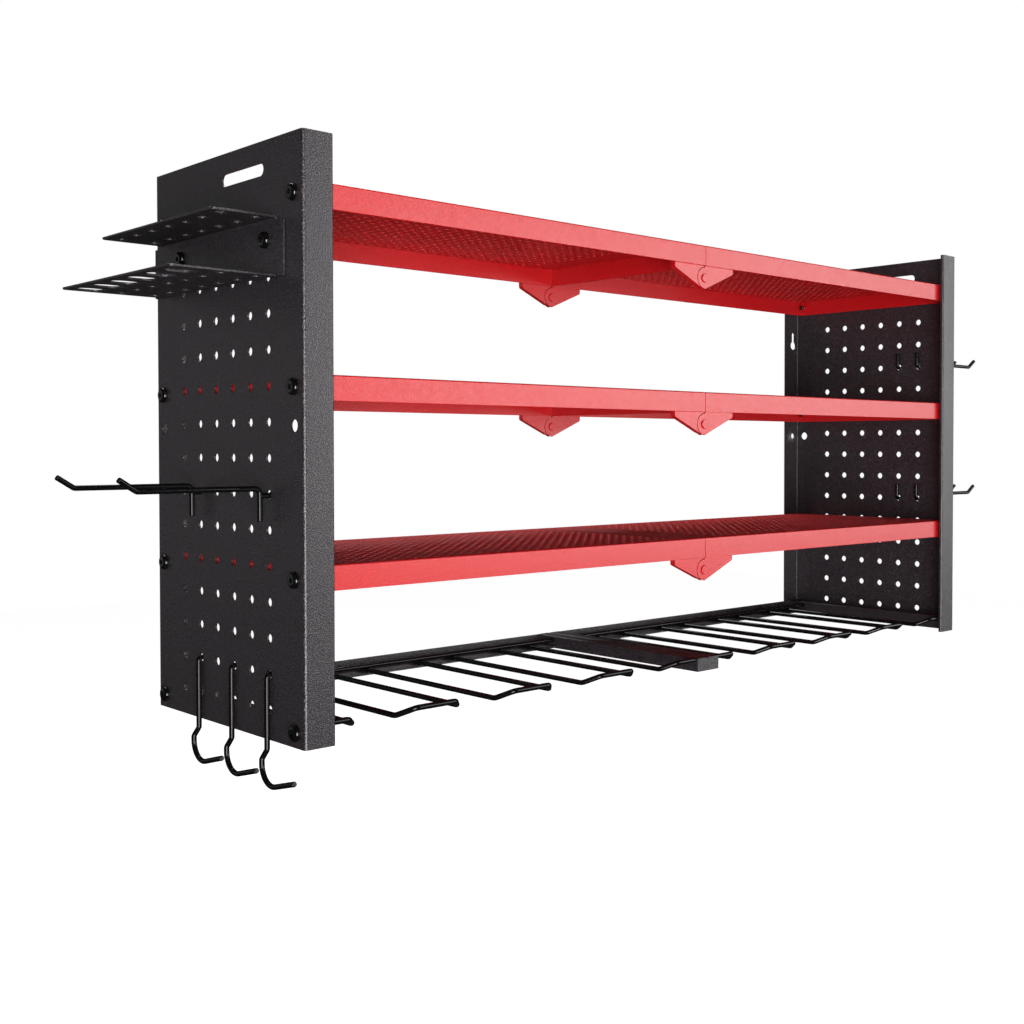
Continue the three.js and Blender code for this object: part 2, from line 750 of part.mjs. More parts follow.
shelfZ.forEach((top, i) => {
  const shelf = shelfNames[i];
  sides.forEach(([side, sign]) => {
    addPiece(`shelf_${shelf}_${side}`, shelfHalf(sign, top), redSteel);
    ends.forEach(([end, y]) => {
      addPiece(`shelf_screw_${shelf}_${side}_${end}`, panelScrew(sign, y, bandMiddle(top)), blackScrew);
    });
  });
  hingeFaces.forEach(([end, face]) => {
    sides.forEach(([side, sign]) => {
      addPiece(`hinge_leaf_${shelf}_${end}_${side}`, hingeLeaf(sign, top, face), redSteel);
    });
    addPiece(`hinge_pin_${shelf}_${end}`, hingePin(top, face), redSteel);
  });
});

sides.forEach(([side, sign]) => {
  addPiece(`drill_rack_frame_${side}`, rackFrame(sign), darkSteel);
  addPiece(`drill_rack_wires_${side}`, wireComb(sign), blackWire);
  ends.forEach(([end, y]) => {
    addPiece(`rack_screw_${side}_${end}`, panelScrew(sign, y, rackScrewZ), blackScrew);
  });
});
boltPlaces.forEach(([end, y]) => addPiece(`rack_join_bolt_${end}`, joinBolt(y), blackScrew));

addPiece('tool_holder', toolHolder(), darkSteel);
holderScrewColumns.forEach(([end, column]) => {
  addPiece(`holder_bolt_${end}`, holderBolt(column), blackScrew);
});

const [, middleShelf, lowerShelf] = shelfZ;
const leftHookRow = rowAbove(lowerShelf, hookRise);
const rightHookRows = [
  ['upper', rowAbove(middleShelf, hookRise)],
  ['lower', rowAbove(lowerShelf, lowHookRise)],
];
addPiece('prong_hook_left_rear', prongHook(-1, 2, leftHookRow, shortProng), blackWire);
addPiece('prong_hook_left_front', prongHook(-1, 6, leftHookRow, shortProng), blackWire);
rightHookRows.forEach(([level, row]) => {
  addPiece(`prong_hook_right_${level}_rear`, prongHook(1, 5, row, longProng), blackWire);
  addPiece(`prong_hook_right_${level}_front`, prongHook(1, 6, row, longProng), blackWire);
});
[['rear', 2], ['middle', 4], ['front', 6]].forEach(([place, column]) => {
  addPiece(`cable_hook_${place}`, cableHook(-1, column, 2), blackWire);
});

export default rack;
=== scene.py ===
"""Blender scene of a wall mounted power tool organizer.

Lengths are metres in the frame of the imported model. X runs across the rack, Y = 0 is the wall and the rack
stands off towards -Y, Z is up. Every piece takes its place from the box of the solid that it stands for.
"""
import logging
import math
from collections.abc import Callable, Iterator, Sequence
from contextlib import contextmanager
from dataclasses import dataclass, field
from enum import Enum

import bmesh
import bpy
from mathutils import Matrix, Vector

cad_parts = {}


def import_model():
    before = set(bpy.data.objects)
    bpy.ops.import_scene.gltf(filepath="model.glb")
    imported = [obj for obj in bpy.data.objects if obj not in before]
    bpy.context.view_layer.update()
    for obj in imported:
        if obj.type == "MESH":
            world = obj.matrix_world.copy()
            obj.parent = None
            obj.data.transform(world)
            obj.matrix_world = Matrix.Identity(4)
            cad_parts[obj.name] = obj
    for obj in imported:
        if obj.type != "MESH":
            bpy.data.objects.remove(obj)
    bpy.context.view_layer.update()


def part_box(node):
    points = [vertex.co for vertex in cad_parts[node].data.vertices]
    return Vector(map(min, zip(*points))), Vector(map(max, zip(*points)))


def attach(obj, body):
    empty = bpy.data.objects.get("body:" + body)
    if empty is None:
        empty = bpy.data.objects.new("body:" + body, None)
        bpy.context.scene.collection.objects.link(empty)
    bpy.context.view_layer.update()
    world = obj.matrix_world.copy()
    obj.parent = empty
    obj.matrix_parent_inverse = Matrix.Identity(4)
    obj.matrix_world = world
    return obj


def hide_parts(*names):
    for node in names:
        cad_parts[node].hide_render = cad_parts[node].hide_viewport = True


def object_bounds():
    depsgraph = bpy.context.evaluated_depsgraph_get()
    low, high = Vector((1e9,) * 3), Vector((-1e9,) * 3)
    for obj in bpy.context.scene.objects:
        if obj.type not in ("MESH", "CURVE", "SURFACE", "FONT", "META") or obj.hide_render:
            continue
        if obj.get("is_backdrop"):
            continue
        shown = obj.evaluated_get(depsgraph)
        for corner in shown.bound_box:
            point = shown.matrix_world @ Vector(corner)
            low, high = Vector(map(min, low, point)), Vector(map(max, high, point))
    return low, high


log = logging.getLogger("organizer")

TOUCH = 0.00002
OVERRUN = 0.001
SEAT = 0.0003
ROUND_SIDES = 24
FINE_SIDES = 48
HEX_SIDES = 6
FULL_ROUND = 0.999
BEND_STEPS = 4
SMALL_BEND_STEPS = 3
CORNER_STEPS = 5
SHEET_ANGLE = 32.0
SCREW_ANGLE = 40.0
WIRE_ANGLE = 50.0
WHITE = (1.0, 1.0, 1.0, 1.0)

Object = bpy.types.Object
Element = bmesh.types.BMVert | bmesh.types.BMEdge | bmesh.types.BMFace
Test = Callable[[Element], bool]


class Axis(Enum):
    """A world axis that a rod, a bore or a row runs along."""

    X = 0
    Y = 1
    Z = 2

    @property
    def turn(self) -> tuple[float, float, float]:
        """The rotation that lays an upright primitive along this axis."""
        turns = {Axis.X: (0.0, math.pi / 2, 0.0), Axis.Y: (math.pi / 2, 0.0, 0.0), Axis.Z: (0.0, 0.0, 0.0)}
        return turns[self]

    def step(self, length: float) -> Vector:
        """A move of one length along this axis."""
        move = Vector((0.0, 0.0, 0.0))
        move[self.value] = length
        return move


class Side(Enum):
    """The two halves of the rack, by the sign of X."""

    LEFT = -1
    RIGHT = 1

    @property
    def word(self) -> str:
        """The side as it stands in the solids' names."""
        return self.name.lower()

    def outer(self, low: Vector, high: Vector) -> float:
        """The X of a box's face away from the middle of the rack."""
        return high.x if self is Side.RIGHT else low.x

    def inner(self, low: Vector, high: Vector) -> float:
        """The X of a box's face towards the middle of the rack."""
        return low.x if self is Side.RIGHT else high.x


class End(Enum):
    """The front and the rear of the rack, by the sign of the way inwards along Y."""

    FRONT = 1
    REAR = -1

    @property
    def word(self) -> str:
        """The end as it stands in the solids' names."""
        return self.name.lower()


class Shelf(Enum):
    """The three shelves by their names."""

    TOP = "top"
    MIDDLE = "middle"
    LOWER = "lower"


class Kind(Enum):
    """What an edit-mode choice picks."""

    POINT = "VERT"
    EDGE = "EDGE"
    FACE = "FACE"


class Joining(Enum):
    """How a boolean combines a body with its tool."""

    CUT = "DIFFERENCE"
    WELD = "UNION"


# Choosing parts of a mesh by place


def corners_of(element: Element) -> list[bmesh.types.BMVert]:
    """The corner points of a point, an edge or a face."""
    return [element] if isinstance(element, bmesh.types.BMVert) else list(element.verts)


def flat_at(axis: Axis, place: float) -> Test:
    """A test for elements that lie wholly at one place along an axis."""
    return lambda element: all(abs(corner.co[axis.value] - place) < TOUCH for corner in corners_of(element))


def along(axis: Axis) -> Test:
    """A test for edges that run along an axis."""

    def runs_along(element: Element) -> bool:
        """Whether the edge's direction is the axis."""
        first, last = corners_of(element)
        direction = (last.co - first.co).normalized()
        return abs(direction[axis.value]) > 1 - TOUCH

    return runs_along


def facing(axis: Axis, sign: int) -> Test:
    """A test for faces whose normal points one way along an axis."""
    return lambda element: element.normal[axis.value] * sign > 1 - TOUCH


def both(*tests: Test) -> Test:
    """A test that asks for all of the given tests."""
    return lambda element: all(test(element) for test in tests)


def either(*tests: Test) -> Test:
    """A test that asks for any one of the given tests."""
    return lambda element: any(test(element) for test in tests)


def pick(kind: Kind, test: Test) -> int:
    """Selects what passes a test in the mesh that is being shaped, and nothing else.

    Args:
        kind: Whether points, edges or faces are picked.
        test: What each of them has to pass.

    Returns:
        How many were picked.
    """
    bpy.ops.mesh.select_mode(type=kind.value)
    bpy.ops.mesh.select_all(action="DESELECT")
    mesh = bpy.context.edit_object.data
    shape = bmesh.from_edit_mesh(mesh)
    pools = {Kind.POINT: shape.verts, Kind.EDGE: shape.edges, Kind.FACE: shape.faces}
    chosen = [element for element in pools[kind] if test(element)]
    for element in chosen:
        element.select_set(True)
    bmesh.update_edit_mesh(mesh)
    return len(chosen)


# The bench


def alone(body: Object) -> None:
    """Makes one object the only selected one and the active one."""
    bpy.ops.object.select_all(action="DESELECT")
    body.select_set(True)
    bpy.context.view_layer.objects.active = body


@contextmanager
def shaping(body: Object) -> Iterator[None]:
    """Opens one mesh in edit mode with nothing selected, and closes it afterwards."""
    alone(body)
    bpy.ops.object.mode_set(mode="EDIT")
    bpy.ops.mesh.select_all(action="DESELECT")
    yield
    bpy.ops.object.mode_set(mode="OBJECT")


def settle(name: str) -> Object:
    """Names the new primitive and puts its place, turn and scale into its mesh."""
    body = bpy.context.active_object
    body.name = name
    body.data.name = name
    alone(body)
    bpy.ops.object.transform_apply(location=True, rotation=True, scale=True)
    return body


def block(name: str, one: Vector, other: Vector) -> Object:
    """Adds a cube between two opposite corners."""
    low = Vector(map(min, one, other))
    high = Vector(map(max, one, other))
    bpy.ops.mesh.primitive_cube_add(size=1, location=(low + high) / 2, scale=high - low)
    return settle(name)


def rod(
    name: str, centre: Vector, radius: float, length: float, axis: Axis, sides: int = ROUND_SIDES
) -> Object:
    """Adds a cylinder about its centre, laid along an axis."""
    bpy.ops.mesh.primitive_cylinder_add(
        vertices=sides, radius=radius, depth=length, location=centre, rotation=axis.turn
    )
    return settle(name)


def slot_tool(centre: Vector, size: Vector, through: Axis, long: Axis) -> Object:
    """Adds a block with round ends, as the cutter of a slot.

    Args:
        centre: The middle of the cutter.
        size: Its length on each axis.
        through: The axis that it cuts along.
        long: The axis that the slot is long on; not used.

    Returns:
        The cutter.
    """
    width = min(size[axis.value] for axis in Axis if axis is not through)
    body = block("slot_tool", centre - size / 2, centre + size / 2)
    with shaping(body):
        pick(Kind.EDGE, along(through))
        bevel(width / 2 * FULL_ROUND, ROUND_SIDES // 4)
    return body


def use_modifier(body: Object, kind: str, **settings: object) -> None:
    """Adds a modifier with its settings and applies it."""
    modifier = body.modifiers.new(kind.title(), kind)
    for key, value in settings.items():
        setattr(modifier, key, value)
    alone(body)
    bpy.ops.object.modifier_apply(modifier=modifier.name)


def combine(body: Object, tool: Object, joining: Joining) -> None:
    """Cuts a tool out of a body or welds it on, and clears the tool away."""
    use_modifier(body, "BOOLEAN", operation=joining.value, object=tool, solver="EXACT")
    mesh = tool.data
    bpy.data.objects.remove(tool)
    bpy.data.meshes.remove(mesh)


def repeat(body: Object, count: int, step: Vector, merged: bool = False) -> None:
    """Repeats a mesh in a row by an applied array."""
    use_modifier(
        body,
        "ARRAY",
        count=count,
        use_relative_offset=False,
        use_constant_offset=True,
        constant_offset_displace=step,
        use_merge_vertices=merged,
        merge_threshold=TOUCH,
    )


def thicken(body: Object, sheet: float) -> None:
    """Gives an outer surface its sheet thickness, inwards."""
    use_modifier(body, "SOLIDIFY", thickness=sheet, offset=-1.0, use_even_offset=True)


def smooth(body: Object, angle: float = SHEET_ANGLE) -> None:
    """Shades a mesh smooth below an angle in degrees, with flat faces kept flat."""
    alone(body)
    bpy.ops.object.shade_smooth_by_angle(angle=math.radians(angle))
    use_modifier(body, "WEIGHTED_NORMAL", keep_sharp=True)


def soften(body: Object, width: float, segments: int = 1, angle: float = SHEET_ANGLE) -> None:
    """Breaks the sharp edges of a mesh and shades it."""
    use_modifier(
        body,
        "BEVEL",
        width=width,
        segments=segments,
        limit_method="ANGLE",
        angle_limit=math.radians(angle),
        use_clamp_overlap=True,
    )
    smooth(body)


def copy_of(body: Object, name: str, move: Vector) -> Object:
    """Copies a finished piece with its own mesh and puts the copy in its place.

    Args:
        body: The piece that is copied.
        name: The copy's name.
        move: How far the copy lies from the piece.

    Returns:
        The copy.
    """
    alone(body)
    bpy.ops.object.duplicate(linked=False)
    copy = bpy.context.active_object
    copy.name = name
    copy.data.name = name
    copy.location = move
    bpy.ops.object.transform_apply(location=True, rotation=False, scale=False)
    return copy


def joined(name: str, bodies: Sequence[Object]) -> Object:
    """Joins several meshes into one object."""
    alone(bodies[0])
    for body in bodies[1:]:
        body.select_set(True)
    if len(bodies) > 1:
        bpy.ops.object.join()
    bodies[0].name = name
    bodies[0].data.name = name
    return bodies[0]


def extrude(move: Vector) -> None:
    """Extrudes what is selected and moves the new end."""
    bpy.ops.mesh.extrude_region_move(TRANSFORM_OT_translate={"value": move})


def bevel(width: float, segments: int) -> None:
    """Bends or rounds the selected edges."""
    bpy.ops.mesh.bevel(offset=width, segments=segments, affect="EDGES")


def take_all() -> None:
    """Selects the whole mesh that is being shaped."""
    bpy.ops.mesh.select_all(action="SELECT")


def drop(kind: Kind, test: Test) -> None:
    """Deletes what passes a test from the mesh that is being shaped."""
    pick(kind, test)
    bpy.ops.mesh.delete(type=kind.value)


def face_outwards() -> None:
    """Turns all faces of the mesh that is being shaped outwards."""
    take_all()
    bpy.ops.mesh.normals_make_consistent(inside=False)


def mend(body: Object) -> None:
    """Merges the points that a boolean leaves on one another and drops faces without area."""
    with shaping(body):
        take_all()
        bpy.ops.mesh.remove_doubles(threshold=TOUCH / 2)
        bpy.ops.mesh.dissolve_degenerate(threshold=TOUCH / 2)


def bore(body: Object, centre: Vector, diameter: float, length: float, axis: Axis = Axis.X) -> None:
    """Cuts one round hole into a body."""
    combine(body, rod("bore", centre, diameter / 2, length, axis), Joining.CUT)


def hexagon(name: str, centre: Vector, across: float, height: float) -> Object:
    """Adds a hexagon prism along X, sized across its flats."""
    return rod(name, centre, across / 2 / math.cos(math.pi / HEX_SIDES), height, Axis.X, HEX_SIDES)


@dataclass(frozen=True)
class Nut:
    """A hexagon nut along X."""

    across: float
    hole: float
    height: float = 0.0045

    def model(self, name: str, centre: Vector) -> Object:
        """Models the nut about its centre."""
        body = hexagon(name, centre, self.across, self.height)
        bore(body, centre, self.hole, 2 * self.height)
        return body


def middle_of(node: str) -> Vector:
    """The middle of a solid's box."""
    low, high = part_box(node)
    return (low + high) / 2


# Finishes


def add_node(
    tree: bpy.types.NodeTree,
    kind: str,
    values: dict[str, float | tuple[float, ...]],
    wires: dict[str, bpy.types.NodeSocket],
) -> bpy.types.Node:
    """Adds a shader node with its values set and its inputs wired to other nodes' outputs."""
    node = tree.nodes.new(kind)
    for label, value in values.items():
        node.inputs[label].default_value = value
    for label, socket in wires.items():
        tree.links.new(socket, node.inputs[label])
    return node


def add_mix(tree: bpy.types.NodeTree) -> bpy.types.Node:
    """Adds a node that mixes two colours."""
    node = tree.nodes.new("ShaderNodeMix")
    node.data_type = "RGBA"
    return node


@dataclass(frozen=True)
class PowderGrain:
    """The node group that grains every baked powder coat."""

    name: str = "powder_grain"
    grain_detail: float = 2.0
    grain_roughness: float = 0.6
    peel_detail: float = 1.0
    peel_scale: float = 260.0
    peel_share: float = 0.35
    fleck_from: float = 0.52
    fleck_to: float = 0.72
    spread: float = 0.08
    distance: float = 0.0003

    def sockets(self, tree: bpy.types.ShaderNodeTree) -> None:
        """Gives the group its inputs and outputs."""
        for label, kind, way in (
            ("Colour", "NodeSocketColor", "INPUT"),
            ("Fleck", "NodeSocketColor", "INPUT"),
            ("Grain Scale", "NodeSocketFloat", "INPUT"),
            ("Roughness", "NodeSocketFloat", "INPUT"),
            ("Height", "NodeSocketFloat", "INPUT"),
            ("Colour", "NodeSocketColor", "OUTPUT"),
            ("Roughness", "NodeSocketFloat", "OUTPUT"),
            ("Normal", "NodeSocketVector", "OUTPUT"),
        ):
            tree.interface.new_socket(name=label, in_out=way, socket_type=kind)

    def tree(self) -> bpy.types.ShaderNodeTree:
        """Builds the group once.

        Returns:
            The group with a grained colour, roughness and normal.
        """
        if self.name in bpy.data.node_groups:
            return bpy.data.node_groups[self.name]
        tree = bpy.data.node_groups.new(self.name, "ShaderNodeTree")
        self.sockets(tree)
        given = tree.nodes.new("NodeGroupInput").outputs
        made = tree.nodes.new("NodeGroupOutput").inputs
        link = tree.links.new
        place = tree.nodes.new("ShaderNodeTexCoord").outputs["Object"]
        values = {"Detail": self.grain_detail, "Roughness": self.grain_roughness}
        wires = {"Vector": place, "Scale": given["Grain Scale"]}
        grain = add_node(tree, "ShaderNodeTexNoise", values, wires).outputs["Fac"]
        values = {"Detail": self.peel_detail, "Scale": self.peel_scale}
        peel = add_node(tree, "ShaderNodeTexNoise", values, {"Vector": place}).outputs["Fac"]
        values = {"From Min": self.fleck_from, "From Max": self.fleck_to}
        fleck = add_node(tree, "ShaderNodeMapRange", values, {"Value": grain})
        colour = add_mix(tree)
        link(fleck.outputs["Result"], colour.inputs["Factor"])
        link(given["Colour"], colour.inputs["A"])
        link(given["Fleck"], colour.inputs["B"])
        link(colour.outputs["Result"], made["Colour"])
        values = {"To Min": -self.spread, "To Max": self.spread}
        spread = add_node(tree, "ShaderNodeMapRange", values, {"Value": peel})
        rough = tree.nodes.new("ShaderNodeMath")
        rough.operation = "ADD"
        rough.use_clamp = True
        link(spread.outputs["Result"], rough.inputs[0])
        link(given["Roughness"], rough.inputs[1])
        link(rough.outputs["Value"], made["Roughness"])
        mixed = tree.nodes.new("ShaderNodeMath")
        mixed.operation = "MULTIPLY_ADD"
        mixed.inputs[1].default_value = self.peel_share
        link(peel, mixed.inputs[0])
        link(grain, mixed.inputs[2])
        wires = {"Strength": given["Height"], "Height": mixed.outputs["Value"]}
        bump = add_node(tree, "ShaderNodeBump", {"Distance": self.distance}, wires)
        link(bump.outputs["Normal"], made["Normal"])
        return tree


def new_material(name: str) -> tuple[bpy.types.Material, bpy.types.Node]:
    """A new material and its shader."""
    made = bpy.data.materials.new(name)
    made.use_nodes = True
    return made, made.node_tree.nodes["Principled BSDF"]


@dataclass(frozen=True)
class PowderCoat:
    """A baked powder coat with a fine grain."""

    name: str
    slot: str
    colour: tuple[float, float, float]
    fleck: tuple[float, float, float]
    roughness: float
    specular: float
    grain_scale: float
    height: float

    def material(self) -> bpy.types.Material:
        """Builds the coat's material once and returns it."""
        if self.name in bpy.data.materials:
            return bpy.data.materials[self.name]
        made, shader = new_material(self.name)
        shader.inputs["Specular IOR Level"].default_value = self.specular
        grain = made.node_tree.nodes.new("ShaderNodeGroup")
        grain.node_tree = PowderGrain().tree()
        grain.inputs["Colour"].default_value = (*self.colour, 1.0)
        grain.inputs["Fleck"].default_value = (*self.fleck, 1.0)
        grain.inputs["Grain Scale"].default_value = self.grain_scale
        grain.inputs["Roughness"].default_value = self.roughness
        grain.inputs["Height"].default_value = self.height
        for label, socket in (("Colour", "Base Color"), ("Roughness", "Roughness"), ("Normal", "Normal")):
            made.node_tree.links.new(grain.outputs[label], shader.inputs[socket])
        return made


@dataclass(frozen=True)
class GlossCoat:
    """A smooth dipped coat on wire, or the black finish of a screw, with a slow waviness."""

    name: str
    slot: str
    colour: tuple[float, float, float]
    roughness: float
    specular: float
    wave_scale: float
    detail: float = 3.0
    spread: float = 0.3
    pale: float = 1.8
    strength: float = 0.05
    distance: float = 0.0001

    def material(self) -> bpy.types.Material:
        """Builds the coat's material once and returns it."""
        if self.name in bpy.data.materials:
            return bpy.data.materials[self.name]
        made, shader = new_material(self.name)
        tree = made.node_tree
        shader.inputs["Specular IOR Level"].default_value = self.specular
        place = tree.nodes.new("ShaderNodeTexCoord").outputs["Object"]
        values = {"Scale": self.wave_scale, "Detail": self.detail}
        wave = add_node(tree, "ShaderNodeTexNoise", values, {"Vector": place}).outputs["Fac"]
        low, high = self.roughness * (1 - self.spread), self.roughness * (1 + self.spread)
        spread = add_node(tree, "ShaderNodeMapRange", {"To Min": low, "To Max": high}, {"Value": wave})
        tree.links.new(spread.outputs["Result"], shader.inputs["Roughness"])
        tint = add_mix(tree)
        tint.inputs["A"].default_value = (*self.colour, 1.0)
        tint.inputs["B"].default_value = (*[channel * self.pale for channel in self.colour], 1.0)
        tree.links.new(wave, tint.inputs["Factor"])
        tree.links.new(tint.outputs["Result"], shader.inputs["Base Color"])
        values = {"Strength": self.strength, "Distance": self.distance}
        bump = add_node(tree, "ShaderNodeBump", values, {"Height": wave})
        tree.links.new(bump.outputs["Normal"], shader.inputs["Normal"])
        return made


CHARCOAL = PowderCoat(
    name="charcoal powder",
    slot="dark_panel",
    colour=(0.014, 0.0105, 0.0135),
    fleck=(0.085, 0.074, 0.082),
    roughness=0.32,
    specular=0.64,
    grain_scale=950.0,
    height=1.1,
)
RED = PowderCoat(
    name="red powder",
    slot="red_shelf",
    colour=(0.44, 0.002, 0.004),
    fleck=(0.62, 0.014, 0.018),
    roughness=0.34,
    specular=0.62,
    grain_scale=1000.0,
    height=0.4,
)
WIRE = GlossCoat("black wire coat", "black_wire", (0.002, 0.002, 0.0023), 0.16, 0.22, 120.0)
SCREW = GlossCoat("black oxide", "black_screw", (0.002, 0.002, 0.002), 0.13, 0.5, 300.0)

Finish = PowderCoat | GlossCoat


def hand_over(piece: Object, finish: Finish, body: str, *nodes: str) -> Object:
    """Dresses a finished piece and ties it to what carries it.

    Args:
        piece: The piece.
        finish: Its coat.
        body: The body that it moves with.
        nodes: The solids that it stands for.

    Returns:
        The piece.
    """
    piece.data.materials.clear()
    piece.data.materials.append(finish.material())
    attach(piece, body)
    if nodes:
        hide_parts(*nodes)
    log.info("%s: %d faces", piece.name, len(piece.data.polygons))
    return piece


def share(piece: Object, finish: Finish, nodes: Sequence[str], moving: bool = False) -> None:
    """Copies a piece to every place of its kind and hands the copies and the piece over.

    Args:
        piece: The piece at the first solid's place.
        finish: Its coat.
        nodes: The solids that the piece and its copies stand for.
        moving: Whether each moves with the body of its solid's name, and not with the rack.
    """
    start = middle_of(nodes[0])
    for node in nodes[1:]:
        copy = copy_of(piece, f"{node}_piece", middle_of(node) - start)
        hand_over(copy, finish, node if moving else "rack", node)
    hand_over(piece, finish, nodes[0] if moving else "rack", nodes[0])


# The rack


@dataclass(frozen=True)
class Layout:
    """Places that several pieces share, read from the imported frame."""

    half_width: float
    depth: float
    bottom: float
    top: float
    sheet: float = 0.0015
    peg_pitch: float = 0.0254
    peg_columns: int = 6
    lowest_peg: float = 0.0213
    edge_inset: float = 0.012

    @classmethod
    def read(cls) -> "Layout":
        """Reads the overall places from the right panel's box."""
        low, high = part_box("side_panel_right")
        return cls(half_width=high.x, depth=-low.y, bottom=low.z, top=high.z)

    def peg_y(self, column: int) -> float:
        """The Y of a column of peg holes, counted from the rear."""
        margin = (self.depth - (self.peg_columns - 1) * self.peg_pitch) / 2
        return -margin - (column - 1) * self.peg_pitch

    def peg_z(self, row: int) -> float:
        """The Z of a row of peg holes, counted from the bottom."""
        return self.bottom + self.lowest_peg + (row - 1) * self.peg_pitch


@dataclass
class SidePanel:
    """One side panel, bent from a single sheet and punched for pegs, screws and the wall."""

    layout: Layout
    side: Side
    bend: float = 0.0025
    front_flange: float = 0.025
    hem: float = 0.0038
    peg_hole: float = 0.0065
    peg_rows: int = 14
    cable_hole: float = 0.009
    cable_hole_height: float = 0.2215
    hand_slot: tuple[float, float] = (0.060, 0.009)
    hand_slot_front: float = 0.0515
    hand_slot_drop: float = 0.0197
    screw_hole: float = 0.006
    keyhole_inset: float = 0.0103
    keyhole_slot: float = 0.005
    keyhole_head: float = 0.010
    keyhole_drop: float = 0.0135
    wall_hole: float = 0.0065
    rim: float = 0.0003

    @property
    def node(self) -> str:
        """The solid that the panel stands for."""
        return f"side_panel_{self.side.word}"

    def blank(self) -> Object:
        """Bends the sheet: web, front flange with its hem, and rear flange."""
        low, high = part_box(self.node)
        outer, inner = self.side.outer(low, high), self.side.inner(low, high)
        body = block(f"{self.node}_piece", low, high)
        flange_edge = outer - self.side.value * self.front_flange
        with shaping(body):
            drop(Kind.FACE, either(flat_at(Axis.X, inner), flat_at(Axis.Z, low.z), flat_at(Axis.Z, high.z)))
            pick(Kind.EDGE, both(flat_at(Axis.X, inner), flat_at(Axis.Y, low.y)))
            bpy.ops.transform.translate(value=Axis.X.step(flange_edge - inner))
            extrude(Axis.Y.step(self.hem))
            bent = either(
                both(flat_at(Axis.X, outer), flat_at(Axis.Y, low.y)),
                both(flat_at(Axis.X, outer), flat_at(Axis.Y, high.y)),
                both(flat_at(Axis.X, flange_edge), flat_at(Axis.Y, low.y)),
            )
            pick(Kind.EDGE, bent)
            bevel(self.bend, BEND_STEPS)
        thicken(body, self.layout.sheet)
        return body

    def web_tool(self, y: float, z: float, diameter: float) -> Object:
        """Adds the cutter of one round hole through the web."""
        x = self.side.value * (self.layout.half_width - self.layout.sheet / 2)
        return rod("web_tool", Vector((x, y, z)), diameter / 2, self.layout.sheet + 2 * OVERRUN, Axis.X)

    def flange_tool(self, x: float, z: float, diameter: float) -> Object:
        """Adds the cutter of one round hole through the rear flange."""
        centre = Vector((x, -self.layout.sheet / 2, z))
        return rod("flange_tool", centre, diameter / 2, self.layout.sheet + 2 * OVERRUN, Axis.Y)

    def punch_web(self, body: Object) -> None:
        """Punches the peg holes, the screw holes, the cable holes and the slot near the top."""
        layout = self.layout
        pegs = self.web_tool(layout.peg_y(1), layout.peg_z(1), self.peg_hole)
        repeat(pegs, layout.peg_columns, Axis.Y.step(-layout.peg_pitch))
        repeat(pegs, self.peg_rows, Axis.Z.step(layout.peg_pitch))
        combine(body, pegs, Joining.CUT)
        screws = [f"shelf_screw_{shelf.value}_{self.side.word}" for shelf in Shelf]
        screws.append(f"rack_screw_{self.side.word}")
        for screw in screws:
            for end in End:
                place = middle_of(f"{screw}_{end.word}")
                combine(body, self.web_tool(place.y, place.z, self.screw_hole), Joining.CUT)
        for y in (-layout.depth + layout.edge_inset, -layout.edge_inset):
            tool = self.web_tool(y, layout.bottom + self.cable_hole_height, self.cable_hole)
            combine(body, tool, Joining.CUT)
        length, width = self.hand_slot
        x = self.side.value * (layout.half_width - layout.sheet / 2)
        y = -layout.depth + self.hand_slot_front + length / 2
        size = Vector((layout.sheet + 2 * OVERRUN, length, width))
        centre = Vector((x, y, layout.top - self.hand_slot_drop))
        combine(body, slot_tool(centre, size, Axis.X, Axis.Y), Joining.CUT)

    def punch_flange(self, body: Object) -> None:
        """Punches the keyhole and the lower wall screw's hole in the rear flange."""
        x = self.side.value * (self.layout.half_width - self.keyhole_inset)
        combine(body, self.flange_tool(x, -self.keyhole_drop, self.keyhole_head), Joining.CUT)
        reach = self.keyhole_drop + self.keyhole_slot
        centre = Vector((x, -self.layout.sheet / 2, (self.keyhole_slot - reach) / 2))
        size = Vector((self.keyhole_slot, self.layout.sheet + 2 * OVERRUN, reach))
        combine(body, slot_tool(centre, size, Axis.Y, Axis.Z), Joining.CUT)
        z = self.layout.bottom + self.cable_hole_height
        combine(body, self.flange_tool(x, z, self.wall_hole), Joining.CUT)

    def build(self) -> None:
        """Makes and hands over the panel."""
        body = self.blank()
        self.punch_web(body)
        self.punch_flange(body)
        soften(body, self.rim)
        hand_over(body, CHARCOAL, "rack", self.node)


